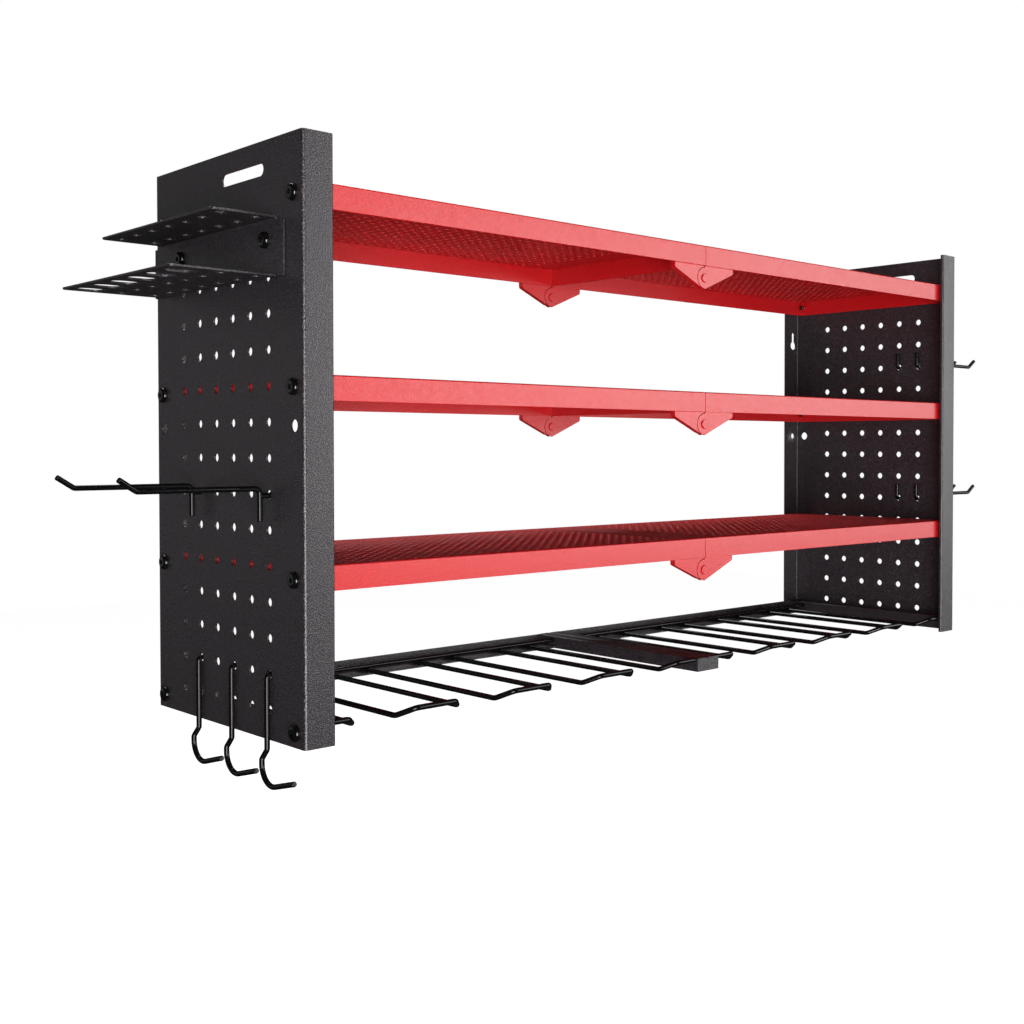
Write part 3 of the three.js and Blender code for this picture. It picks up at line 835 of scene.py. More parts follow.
@dataclass
class ShelfHalf:
    """Half a shelf: a folded tray with a perforated deck and two weld nuts in its outer flange."""

    side: Side
    pitch: float = 0.010
    hole: float = 0.0056
    hole_points: int = 12
    seam_margin: float = 0.0298
    sheet: float = 0.0014
    bend: float = 0.0013
    corner: float = 0.0003
    screw_hole: float = 0.006
    nut: Nut = Nut(across=0.009, hole=0.0052)
    rim: float = 0.00025

    def node(self, shelf: Shelf) -> str:
        """The solid that the tray of a shelf stands for."""
        return f"shelf_{shelf.value}_{self.side.word}"

    def cell(self, low: Vector) -> Object:
        """Models one square of the deck round its hole."""
        centre = low + Vector((self.pitch / 2, self.pitch / 2, 0.0))
        bpy.ops.mesh.primitive_plane_add(size=self.pitch, location=centre)
        body = settle("deck_cell")
        rim = either(*self.upright_sides(low, low + Vector((self.pitch, self.pitch, 0.0))))
        with shaping(body):
            take_all()
            bpy.ops.mesh.subdivide(number_cuts=2)
            drop(Kind.POINT, lambda point: not rim(point))
            bpy.ops.mesh.primitive_circle_add(
                vertices=self.hole_points,
                radius=self.hole / 2,
                location=centre,
                rotation=(0.0, 0.0, math.pi / self.hole_points),
            )
            bpy.ops.mesh.select_mode(type="EDGE")
            take_all()
            bpy.ops.mesh.bridge_edge_loops()
            self.face_up()
        return body

    @staticmethod
    def upright_sides(low: Vector, high: Vector) -> tuple[Test, Test]:
        """Tests for what lies on a box's left or right side and on its front or rear."""
        across = either(flat_at(Axis.X, low.x), flat_at(Axis.X, high.x))
        deep = either(flat_at(Axis.Y, low.y), flat_at(Axis.Y, high.y))
        return across, deep

    @staticmethod
    def face_up() -> None:
        """Turns every face of the open sheet upwards."""
        if pick(Kind.FACE, lambda face: face.normal.z < 0):
            bpy.ops.mesh.flip_normals()

    def sheet_metal(self, name: str, low: Vector, high: Vector) -> Object:
        """Repeats the cell and folds the sheet round it into a tray."""
        length, depth = high.x - low.x, high.y - low.y
        across = int((length - self.seam_margin) / self.pitch)
        back = int(depth / self.pitch)
        gap_y = (depth - back * self.pitch) / 2
        gap_x = self.seam_margin
        if self.side is Side.LEFT:
            gap_x = length - self.seam_margin - across * self.pitch
        field_low = Vector((low.x + gap_x, low.y + gap_y, high.z))
        field_high = field_low + Vector((across * self.pitch, back * self.pitch, 0.0))
        body = self.cell(field_low)
        repeat(body, across, Axis.X.step(self.pitch), merged=True)
        repeat(body, back, Axis.Y.step(self.pitch), merged=True)
        sides = self.upright_sides(low, high)
        outline = either(*sides)
        with shaping(body):
            for axis in (Axis.X, Axis.Y):
                for inner, outer in ((field_low, low), (field_high, high)):
                    pick(Kind.EDGE, flat_at(axis, inner[axis.value]))
                    extrude(axis.step(outer[axis.value] - inner[axis.value]))
            pick(Kind.EDGE, outline)
            extrude(Axis.Z.step(low.z - high.z))
            pick(Kind.EDGE, both(outline, flat_at(Axis.Z, high.z)))
            bevel(self.bend, SMALL_BEND_STEPS)
            pick(Kind.EDGE, both(along(Axis.Z), *sides))
            bevel(self.corner, 2)
            face_outwards()
        thicken(body, self.sheet)
        with shaping(body):
            pick(Kind.EDGE, both(flat_at(Axis.Z, low.z), self.between_levels))
            bevel(self.rim, 1)
        body.name = name
        return body

    @staticmethod
    def between_levels(edge: Element) -> bool:
        """Whether an edge parts a level face from an upright one."""
        levels = [abs(face.normal.z) > 0.5 for face in edge.link_faces]
        return len(levels) == 2 and levels[0] != levels[1]

    def screw_places(self, shelf: Shelf) -> list[Vector]:
        """The middles of the two screws that hold the tray's outer end."""
        return [middle_of(f"shelf_screw_{shelf.value}_{self.side.word}_{end.word}") for end in End]

    def weld_nut(self, name: str, flange: float, place: Vector) -> Object:
        """Models one weld nut on the inside of a flange."""
        inwards = -self.side.value * (self.sheet + self.nut.height) / 2
        body = self.nut.model(name, Vector((flange + inwards, place.y, place.z)))
        soften(body, self.rim * 2, segments=2)
        return body

    def build(self) -> None:
        """Makes the top tray and its nuts, and copies them to the other shelves."""
        low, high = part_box(self.node(Shelf.TOP))
        flange = self.side.outer(low, high)
        tray = self.sheet_metal(f"{self.node(Shelf.TOP)}_tray", low, high)
        nuts = []
        for end, place in zip(End, self.screw_places(Shelf.TOP)):
            centre = Vector((flange, place.y, place.z))
            bore(tray, centre, self.screw_hole, 4 * self.sheet)
            nuts.append(self.weld_nut(f"{self.node(Shelf.TOP)}_nut_{end.word}", flange, place))
        smooth(tray)
        for shelf in (Shelf.MIDDLE, Shelf.LOWER):
            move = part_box(self.node(shelf))[0] - low
            copy = copy_of(tray, f"{self.node(shelf)}_tray", move)
            hand_over(copy, RED, "rack", self.node(shelf))
            for end, own in zip(End, nuts):
                hand_over(copy_of(own, f"{self.node(shelf)}_nut_{end.word}", move), RED, "rack")
        hand_over(tray, RED, "rack", self.node(Shelf.TOP))
        for own in nuts:
            hand_over(own, RED, "rack")


@dataclass
class ShelfHinge:
    """The two half-lapped leaves and the pin under the middle of a shelf, at its front or its rear."""

    end: End
    reach: float = 0.0395
    rise: float = 0.012
    corner_drop: float = 0.0045
    corner_radius: float = 0.003
    tip_drop: float = 0.0215
    tip_inset: float = 0.004
    tip_radius: float = 0.001
    pivot_drop: float = 0.0111
    knuckle: float = 0.0093
    clearance: float = 0.0008
    pin: float = 0.0025
    pin_head: float = 0.0041
    pin_head_height: float = 0.0009
    dome_share: float = 0.6
    half_gap: float = 0.0005
    grip_start: float = 0.0020
    edge: float = 0.0003

    def leaf_node(self, shelf: Shelf, side: Side) -> str:
        """The solid that a leaf stands for."""
        return f"hinge_leaf_{shelf.value}_{self.end.word}_{side.word}"

    def band_bottom(self) -> float:
        """The lower edge of the top shelf's band."""
        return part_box("shelf_top_left")[0].z

    def layers(self) -> tuple[float, float, float]:
        """The Y of a leaf's front face, lap and rear face."""
        low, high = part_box(self.leaf_node(Shelf.TOP, Side.LEFT))
        return low.y, (low.y + high.y) / 2, high.y

    def tangent_angle(self) -> float:
        """The angle at which a line from the leaf's outer corner touches the knuckle."""
        drop = self.pivot_drop - self.corner_drop
        away = math.hypot(self.reach, drop)
        return math.atan2(drop, self.reach) - math.acos(self.knuckle / away)

    def plate(self, side: Side, y_from: float, y_to: float, footed: bool) -> Object:
        """Models the flat part of a leaf below the band.

        Args:
            side: Which half of the shelf the leaf holds.
            y_from: One face of the plate.
            y_to: Its other face.
            footed: Whether the slanting edge runs down to a foot beside the knuckle.

        Returns:
            The plate.
        """
        band, sign = self.band_bottom(), side.value
        one = Vector((sign * self.half_gap, y_from, band - SEAT))
        other = Vector((sign * self.reach, y_to, band - self.tip_drop))
        body = block("leaf_plate", one, other)
        corner = Vector((sign * self.reach, y_from, band - self.corner_drop))
        if footed:
            slope = Vector((sign * self.tip_inset, y_from, band - self.tip_drop)) - corner
            outward = Vector((-slope.z * sign, 0.0, slope.x * sign))
        else:
            angle = self.tangent_angle()
            outward = Vector((sign * math.cos(angle), 0.0, math.sin(angle)))
        with shaping(body):
            take_all()
            bpy.ops.mesh.bisect(plane_co=corner, plane_no=outward, use_fill=True, clear_outer=True)
            pick(Kind.EDGE, both(along(Axis.Y), flat_at(Axis.X, corner.x), flat_at(Axis.Z, corner.z)))
            bevel(self.corner_radius / 2, CORNER_STEPS)
            foot = both(along(Axis.Y), flat_at(Axis.X, sign * self.tip_inset), flat_at(Axis.Z, other.z))
            if footed and pick(Kind.EDGE, foot):
                bevel(self.tip_radius, SMALL_BEND_STEPS)
        return body

    def leaf(self, side: Side, name: str) -> Object:
        """Models one leaf with its knuckle, its recess and its grip on the band."""
        front, lap, rear = self.layers()
        sign, band = side.value, self.band_bottom()
        to_camera = side is Side.RIGHT
        pivot = band - self.pivot_drop
        depth = 2 * (rear - front)
        body = self.plate(side, front, rear, footed=not to_camera)
        body.name = name
        wide = self.knuckle + self.clearance
        steps = [(rod("recess", Vector((0.0, lap, pivot)), wide, depth, Axis.Y, FINE_SIDES), Joining.CUT)]
        if not to_camera:
            one = Vector((-sign * OVERRUN, front - OVERRUN, pivot))
            other = Vector((sign * self.tip_inset, rear + OVERRUN, band - self.tip_drop - OVERRUN))
            steps.append((block("foot_cut", one, other), Joining.CUT))
        faces = (front, lap - SEAT / 2) if to_camera else (lap + SEAT / 2, rear)
        knuckle = self.plate(side, faces[0], faces[1], footed=False)
        centre = Vector((0.0, (faces[0] + faces[1]) / 2, pivot))
        disc = rod("disc", centre, self.knuckle, faces[1] - faces[0], Axis.Y, FINE_SIDES)
        combine(knuckle, disc, Joining.WELD)
        mend(knuckle)
        one = Vector((sign * self.grip_start, front, band - 2 * SEAT))
        other = Vector((sign * self.reach, rear, band + self.rise))
        steps += [(knuckle, Joining.WELD), (block("grip", one, other), Joining.WELD)]
        sunk = 2 * (self.pin_head_height + SEAT)
        for y, radius, length in ((lap, self.pin, depth), (rear, self.pin_head, sunk)):
            tool = rod("pin_hole", Vector((0.0, y, pivot)), radius + SEAT, length, Axis.Y)
            steps.append((tool, Joining.CUT))
        for tool, joining in steps:
            combine(body, tool, joining)
            mend(body)
        soften(body, self.edge, segments=2)
        return body

    def pin_piece(self, name: str) -> Object:
        """Models the pin with a low domed head at each end, the rear one sunk in its pocket."""
        front, _, rear = self.layers()
        start, end = front - SEAT, rear - self.pin_head_height
        centre = Vector((0.0, (start + end) / 2, self.band_bottom() - self.pivot_drop))
        body = rod(name, centre, self.pin, end - start, Axis.Y)
        scale = self.pin_head / self.pin
        with shaping(body):
            for way, cap in ((-1, start), (1, end)):
                pick(Kind.FACE, flat_at(Axis.Y, cap))
                extrude(Vector((0.0, 0.0, 0.0)))
                bpy.ops.transform.resize(value=(scale, 1.0, scale), center_override=centre)
                extrude(Axis.Y.step(way * self.pin_head_height))
                bevel(self.pin_head_height * self.dome_share, SMALL_BEND_STEPS)
            take_all()
            bpy.ops.mesh.remove_doubles(threshold=TOUCH / 4)
        smooth(body)
        return body

    def build(self) -> None:
        """Makes the top shelf's hinge and copies it to the other shelves."""
        for side in Side:
            nodes = [self.leaf_node(shelf, side) for shelf in Shelf]
            share(self.leaf(side, f"{nodes[0]}_piece"), RED, nodes)
        nodes = [f"hinge_pin_{shelf.value}_{self.end.word}" for shelf in Shelf]
        share(self.pin_piece(f"{nodes[0]}_piece"), RED, nodes)


@dataclass
class RackFrame:
    """The sheet frame of half the drill rack: two side channels, a rear rail and its nuts."""

    side: Side
    channel: float = 0.014
    sheet: float = 0.0015
    bend: float = 0.0014
    rail_depth: float = 0.024
    rail_drop: float = 0.0002
    screw_hole: float = 0.006
    bolt_hole: float = 0.005
    screw_nut: Nut = Nut(across=0.009, hole=0.0050)
    bolt_nut: Nut = Nut(across=0.008, hole=0.0050)
    rim: float = 0.00025

    @property
    def node(self) -> str:
        """The solid that the frame stands for."""
        return f"drill_rack_frame_{self.side.word}"

    def side_channel(self, low: Vector, high: Vector) -> Object:
        """Folds one channel that is open below."""
        body = block("channel", low, high)
        with shaping(body):
            drop(Kind.FACE, facing(Axis.Z, -1))
            pick(Kind.EDGE, both(flat_at(Axis.Z, high.z), along(Axis.Y)))
            bevel(self.bend, SMALL_BEND_STEPS)
        thicken(body, self.sheet)
        return body

    def rear_rail(self, low: Vector, high: Vector) -> Object:
        """Folds the angle that joins the channels at the wall, with its flat leg forwards."""
        body = block("rail", low, high)
        with shaping(body):
            drop(Kind.FACE, lambda face: not either(facing(Axis.Z, -1), facing(Axis.Y, 1))(face))
            pick(Kind.EDGE, both(flat_at(Axis.Z, low.z), flat_at(Axis.Y, high.y)))
            bevel(self.bend, SMALL_BEND_STEPS)
        thicken(body, self.sheet)
        return body

    def build(self) -> None:
        """Makes and hands over the frame."""
        low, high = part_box(self.node)
        sign = self.side.value
        outer, inner = self.side.outer(low, high), self.side.inner(low, high)
        pieces = []
        for face, way in ((outer, -sign), (inner, sign)):
            other = Vector((face + way * self.channel, high.y, high.z))
            pieces.append(self.side_channel(Vector((face, low.y, low.z)), other))
        inset, drop = self.channel - self.sheet / 2, self.rail_drop
        rail_low = Vector((low.x + inset, high.y - self.rail_depth, low.z + drop))
        rail_high = Vector((high.x - inset, high.y - drop, high.z - drop))
        pieces.append(self.rear_rail(rail_low, rail_high))
        channels = pieces[:2]
        reach = Axis.X.step(sign * (self.sheet + self.screw_nut.height) / 2)
        for end in End:
            screw = middle_of(f"rack_screw_{self.side.word}_{end.word}")
            bolt = middle_of(f"rack_join_bolt_{end.word}")
            screw.x, bolt.x = outer, inner
            for centre, diameter in ((screw, self.screw_hole), (bolt, self.bolt_hole)):
                for piece in channels:
                    bore(piece, centre, diameter, 4 * self.sheet)
            pieces.append(self.screw_nut.model("nut", screw - reach))
            if self.side is Side.RIGHT:
                pieces.append(self.bolt_nut.model("nut", bolt + reach))
        body = joined(f"{self.node}_piece", pieces)
        soften(body, self.rim)
        hand_over(body, CHARCOAL, "rack", self.node)


@dataclass
class WireFormer:
    """Forms one round wire as a bending bench does, by straight runs and round bends."""

    radius: float
    sides: int = 16
    bend_steps: int = 6
    place: Vector = field(default_factory=Vector)
    heading: Vector = field(default_factory=Vector)

    def start(self, name: str, place: Vector, towards: Vector) -> None:
        """Puts the first ring at a place, square to the way to the next point, and opens it for shaping."""
        self.place = place.copy()
        self.heading = (towards - place).normalized()
        bpy.ops.mesh.primitive_circle_add(
            vertices=self.sides,
            radius=self.radius,
            location=place,
            rotation=self.heading.to_track_quat("Z", "Y").to_euler(),
        )
        settle(name)
        bpy.ops.object.mode_set(mode="EDIT")
        bpy.ops.mesh.select_mode(type="EDGE")
        take_all()
        bpy.ops.mesh.edge_face_add()
        bpy.ops.mesh.select_mode(type="EDGE")

    def run(self, place: Vector) -> None:
        """Draws the wire straight to a point."""
        if (place - self.place).length > TOUCH:
            extrude(place - self.place)
            self.place = place.copy()

    def swing(self, centre: Vector, axis: Vector, angle: float, steps: int) -> None:
        """Bends the wire about a centre, by the right-hand rule."""
        bpy.ops.mesh.spin(steps=steps, angle=-angle, center=centre, axis=axis)
        self.place = centre + turned(self.place - centre, axis, angle)
        self.heading = turned(self.heading, axis, angle)

    def round_corner(self, corner: Vector, after: Vector, bend: float) -> None:
        """Draws the wire up to a corner and bends it towards the point after it."""
        leaving = (after - corner).normalized()
        angle = self.heading.angle(leaving)
        setback = bend * math.tan(angle / 2)
        self.run(corner - self.heading * setback)
        inward = (leaving - self.heading * leaving.dot(self.heading)).normalized()
        axis = self.heading.cross(inward).normalized()
        self.swing(self.place + inward * bend, axis, angle, self.bend_steps)

    def close(self) -> Object:
        """Caps both ends, leaves edit mode and hands back the wire."""
        take_all()
        bpy.ops.mesh.remove_doubles(threshold=TOUCH / 4)
        pick(Kind.EDGE, lambda edge: edge.is_boundary)
        bpy.ops.mesh.edge_face_add()
        face_outwards()
        bpy.ops.object.mode_set(mode="OBJECT")
        return bpy.context.active_object

    def through(self, name: str, points: Sequence[Vector], bend: float) -> Object:
        """Forms a wire through a list of corners, all with one bend radius."""
        self.start(name, points[0], points[1])
        for corner, after in zip(points[1:-1], points[2:]):
            self.round_corner(corner, after, bend)
        self.run(points[-1])
        return self.close()


def turned(vector: Vector, axis: Vector, angle: float) -> Vector:
    """A vector turned about an axis by the right-hand rule."""
    unit = axis.normalized()
    return (
        vector * math.cos(angle)
        + unit.cross(vector) * math.sin(angle)
        + unit * unit.dot(vector) * (1 - math.cos(angle))
    )


@dataclass
class WireComb:
    """The welded wires of half the drill rack: tongues that point forwards, on one cross wire."""

    side: Side
    wire: float = 0.0044
    bend: float = 0.006
    tongues: int = 3
    end_gap: float = 0.019
    drill_slot: float = 0.0375
    corner: float = 0.012
    narrowing: float = 0.0105
    rise: float = 0.006
    channel: float = 0.014
    cross_rise: float = 0.0035
    rail_depth: float = 0.024
    cap: float = 0.0004

    @property
    def node(self) -> str:
        """The solid that the comb stands for."""
        return f"drill_rack_wires_{self.side.word}"

    def build(self) -> None:
        """Makes and hands over the comb."""
        low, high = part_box(self.node)
        frame_low, frame_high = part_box(f"drill_rack_frame_{self.side.word}")
        radius = self.wire / 2
        middle = (frame_low.x + frame_high.x) / 2
        half = (frame_high.x - frame_low.x) / 2
        pitch = 2 * (half - self.end_gap) / (self.tongues + 1)
        leg_half = (pitch - self.drill_slot) / 2
        bar_half = leg_half - self.narrowing
        leg_z, bar_y = low.z + radius, low.y + radius
        leg_front, leg_rear = bar_y + self.corner, high.y
        bar_z = leg_z + self.rise
        reach = half - self.channel - SEAT

        def at(x: float, y: float, z: float) -> Vector:
            """A point about the middle of this half."""
            return Vector((middle + x, y, z))

        former = WireFormer(radius)
        wires = []
        for i in range(self.tongues):
            centre = (i - (self.tongues - 1) / 2) * pitch
            points = [
                at(centre - leg_half, leg_rear, leg_z),
                at(centre - leg_half, leg_front, leg_z),
                at(centre - bar_half, bar_y, bar_z),
                at(centre + bar_half, bar_y, bar_z),
                at(centre + leg_half, leg_front, leg_z),
                at(centre + leg_half, leg_rear, leg_z),
            ]
            wires.append(former.through("tongue", points, self.bend))
        end_leg = (self.tongues + 1) / 2 * pitch - leg_half
        for end in (-1, 1):
            points = [
                at(end * end_leg, leg_rear, leg_z),
                at(end * end_leg, leg_front, leg_z),
                at(end * (end_leg + self.narrowing), bar_y, bar_z),
                at(end * reach, bar_y, bar_z),
            ]
            wires.append(former.through("end_wire", points, self.bend))
        cross_y = frame_high.y - self.rail_depth + radius
        cross = [at(-reach, cross_y, leg_z + self.cross_rise), at(reach, cross_y, leg_z + self.cross_rise)]
        wires.append(former.through("cross_wire", cross, self.bend))
        body = joined(f"{self.node}_piece", wires)
        soften(body, self.cap, segments=2, angle=WIRE_ANGLE)
        hand_over(body, WIRE, "rack", self.node)


@dataclass
class ButtonScrew:
    """A screw with a low domed head and a hexagon socket."""

    head_radius: float = 0.006
    head_height: float = 0.0032
    rim_share: float = 0.3
    top_share: float = 0.52
    dome_steps: int = 5
    shank_radius: float = 0.0027
    socket_across: float = 0.0036
    socket_depth: float = 0.0016
    edge: float = 0.0002

    def model(self, name: str, node: str, side: Side) -> Object:
        """Models the screw of one solid, with its head away from the middle of the rack."""
        low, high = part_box(node)
        sign = side.value
        top, tip = side.outer(low, high), side.inner(low, high)
        seat = top - sign * self.head_height
        centre = middle_of(node)
        centre.x = (seat + tip) / 2
        body = rod(name, centre, self.shank_radius, abs(seat - tip), Axis.X)
        with shaping(body):
            pick(Kind.FACE, facing(Axis.X, sign))
            radius = self.shank_radius
            rise = 0.0
            for share in range(self.dome_steps + 2):
                step, wanted = self.profile(share)
                extrude(Axis.X.step(sign * (step - rise)))
                scale = wanted / radius
                bpy.ops.transform.resize(value=(1.0, scale, scale), center_override=centre)
                radius, rise = wanted, step
        place = Vector((top, centre.y, centre.z))
        combine(body, hexagon("socket", place, self.socket_across, 2 * self.socket_depth), Joining.CUT)
        soften(body, self.edge, angle=SCREW_ANGLE)
        return body

    def profile(self, step: int) -> tuple[float, float]:
        """The height above the seat and the radius of one ring of the head."""
        if step == 0:
            return 0.0, self.head_radius
        rim = self.head_height * self.rim_share
        angle = (step - 1) / self.dome_steps * math.pi / 2
        radius = self.head_radius * (self.top_share + (1 - self.top_share) * math.cos(angle))
        return rim + (self.head_height - rim) * math.sin(angle), radius

    def build(self) -> None:
        """Makes one screw a side and copies it to every place."""
        for side in Side:
            nodes = [f"shelf_screw_{shelf.value}_{side.word}_{end.word}" for shelf in Shelf for end in End]
            nodes += [f"rack_screw_{side.word}_{end.word}" for end in End]
            share(self.model(f"{nodes[0]}_piece", nodes[0], side), SCREW, nodes)


@dataclass
class JoinBolt:
    """A hexagon bolt that ties the two halves of the drill rack."""

    shank_radius: float = 0.0022
    head_across: float = 0.008
    head_height: float = 0.003
    edge: float = 0.0004

    def build(self) -> None:
        """Makes one bolt and copies it to the other end."""
        nodes = [f"rack_join_bolt_{end.word}" for end in End]
        low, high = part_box(nodes[0])
        _, y, z = middle_of(nodes[0])
        head_middle = Vector((low.x + self.head_height / 2, y, z))
        body = hexagon(f"{nodes[0]}_piece", head_middle, self.head_across, self.head_height)
        length = high.x - low.x - self.head_height / 2
        shank = rod("shank", Vector((high.x - length / 2, y, z)), self.shank_radius, length, Axis.X)
        combine(body, shank, Joining.WELD)
        soften(body, self.edge, segments=2, angle=SCREW_ANGLE)
        share(body, SCREW, nodes)


@dataclass
class ToolHolder:
    """The bent holder on the left panel: screwdriver holes above, plier slots below."""

    layout: Layout
    sheet: float = 0.0015
    bend: float = 0.0025
    ear: float = 0.0095
    ear_drop: float = 0.0035
    top_plate: float = 0.0495
    driver_hole: float = 0.009
    driver_pitch: float = 0.026
    driver_columns: int = 7
    driver_first: float = 0.040
    driver_row: float = 0.0125
    plier_slot: tuple[float, float] = (0.023, 0.017)
    plier_pitch: float = 0.029
    plier_slots: int = 6
    plier_first: float = 0.049
    plier_inset: float = 0.005
    screw_hole: float = 0.006
    plate_corner: float = 0.004
    rim: float = 0.0003

    def blank(self, low: Vector, high: Vector) -> Object:
        """Bends the sheet: a back with ears, a top plate and a wider lower plate."""
        back = high.x
        body = block("tool_holder_piece", low, high)
        with shaping(body):
            drop(Kind.FACE, lambda face: not facing(Axis.X, 1)(face))
            for y, way in ((low.y + self.ear, 1), (high.y - self.ear, -1)):
                take_all()
                bpy.ops.mesh.bisect(plane_co=(back, y, high.z), plane_no=(0.0, float(way), 0.0))
            notch = high.z - self.ear_drop
            take_all()
            bpy.ops.mesh.bisect(plane_co=(back, low.y, notch), plane_no=(0.0, 0.0, 1.0))
            inside = self.between_ears(low, high)
            drop(Kind.FACE, lambda face: face.calc_center_median().z > notch and not inside(face))
            pick(Kind.EDGE, both(flat_at(Axis.Z, high.z), inside))
            extrude(Axis.X.step(-self.top_plate))
            pick(Kind.EDGE, both(flat_at(Axis.Z, low.z), inside, flat_at(Axis.X, back)))
            extrude(Axis.X.step(low.x - back))
            bent = both(along(Axis.Y), flat_at(Axis.X, back), inside)
            pick(Kind.EDGE, both(bent, either(flat_at(Axis.Z, high.z), flat_at(Axis.Z, low.z))))
            bevel(self.bend, BEND_STEPS)
            face_outwards()
            if pick(Kind.FACE, both(flat_at(Axis.X, back), facing(Axis.X, -1))):
                take_all()
                bpy.ops.mesh.flip_normals()
        thicken(body, self.sheet)
        return body

    def between_ears(self, low: Vector, high: Vector) -> Test:
        """A test for elements between the two ears."""
        near, far = low.y + self.ear - TOUCH, high.y - self.ear + TOUCH
        return lambda element: all(near <= corner.co.y <= far for corner in corners_of(element))

    def round_plates(self, body: Object, low: Vector, high: Vector) -> None:
        """Rounds the free corners of both plates."""
        free = either(flat_at(Axis.X, low.x), flat_at(Axis.X, high.x - self.top_plate))
        with shaping(body):
            pick(Kind.EDGE, both(along(Axis.Z), free))
            bevel(self.plate_corner, CORNER_STEPS)

    def punch(self, body: Object, low: Vector, high: Vector) -> None:
        """Punches the driver holes, the plier slots and the two screw holes."""
        front = -self.layout.depth
        tall = high.z - low.z + 4 * OVERRUN
        middle = (high.z + low.z) / 2
        first = Vector((high.x - self.driver_row, front + self.driver_first, middle))
        drivers = rod("driver_tool", first, self.driver_hole / 2, tall, Axis.Z)
        repeat(drivers, self.driver_columns, Axis.Y.step(self.driver_pitch))
        repeat(drivers, 2, Axis.X.step(-self.driver_pitch))
        combine(body, drivers, Joining.CUT)
        length, width = self.plier_slot
        x = low.x + self.plier_inset + length / 2
        size = Vector((length, width, self.sheet + 4 * OVERRUN))
        centre = Vector((x, front + self.plier_first, low.z + self.sheet / 2))
        slots = slot_tool(centre, size, Axis.Z, Axis.X)
        repeat(slots, self.plier_slots, Axis.Y.step(self.plier_pitch))
        combine(body, slots, Joining.CUT)
        for end in End:
            place = middle_of(f"holder_bolt_{end.word}")
            bore(body, Vector((high.x, place.y, place.z)), self.screw_hole, 6 * self.sheet)

    def build(self) -> None:
        """Makes and hands over the holder."""
        low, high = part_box("tool_holder")
        body = self.blank(low, high)
        self.round_plates(body, low, high)
        self.punch(body, low, high)
        soften(body, self.rim)
        hand_over(body, CHARCOAL, "rack", "tool_holder")


@dataclass
class HolderBolt:
    """A screw through the holder and a peg hole, with its nut inside the panel."""

    screw: ButtonScrew
    nut: Nut = Nut(across=0.009, hole=0.0052)
    past_nut: float = 0.001
    edge: float = 0.0004

    def build(self) -> None:
        """Makes one screw and one nut and copies them to the other end."""
        nodes = [f"holder_bolt_{end.word}" for end in End]
        _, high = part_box(nodes[0])
        centre = middle_of(nodes[0])
        screw = self.screw.model(f"{nodes[0]}_piece", nodes[0], Side.LEFT)
        place = Vector((high.x - self.past_nut - self.nut.height / 2, centre.y, centre.z))
        own_nut = self.nut.model(f"{nodes[0]}_nut", place)
        soften(own_nut, self.edge, segments=2)
        copy = copy_of(own_nut, f"{nodes[1]}_nut", middle_of(nodes[1]) - centre)
        share(screw, SCREW, nodes)
        hand_over(copy, SCREW, "rack")
        hand_over(own_nut, SCREW, "rack")


@dataclass
class ProngHook:
    """A peg hook with an upturned tip, whose arm bends down into a stub that stands on the panel."""

    layout: Layout
    wire: float = 0.004
    drop: float = 0.0009
    stub: float = 0.018
    lift: float = 0.0041
    root: float = 0.007
    bend: float = 0.004
    tip_run: float = 0.0125
    tip_rise: float = 0.008
    cap: float = 0.0006

    def model(self, name: str, node: str, side: Side) -> Object:
        """Bends the hook of one solid."""
        low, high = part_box(node)
        sign, radius = side.value, self.wire / 2
        y = (low.y + high.y) / 2
        peg_z = low.z + self.stub
        arm_z = peg_z + self.drop + self.lift
        peg = self.layout.half_width - self.layout.sheet - SEAT - radius
        root = self.layout.half_width + self.root
        slant = math.hypot(self.tip_run, self.tip_rise)
        end = abs(side.outer(low, high)) - radius * self.tip_rise / slant

        def at(x: float, height: float) -> Vector:
            """A point in the hook's plane."""
            return Vector((sign * x, y, height))

        former = WireFormer(radius)
        peg_wire = former.through("peg", [at(peg, high.z), at(peg, peg_z), at(root, peg_z)], self.bend)
        bend, tip = at(end - self.tip_run, arm_z), at(end, arm_z + self.tip_rise)
        arm = former.through("arm", [at(root, low.z), at(root, arm_z), bend, tip], self.bend)
        body = joined(name, [arm, peg_wire])
        soften(body, self.cap, segments=3, angle=WIRE_ANGLE)
        return body

    def build(self) -> None:
        """Makes one hook a side and copies it to its other places."""
        for side, rows in ((Side.LEFT, ("left",)), (Side.RIGHT, ("right_upper", "right_lower"))):
            nodes = [f"prong_hook_{row}_{end}" for row in rows for end in ("rear", "front")]
            share(self.model(f"{nodes[0]}_piece", nodes[0], side), WIRE, nodes, moving=True)


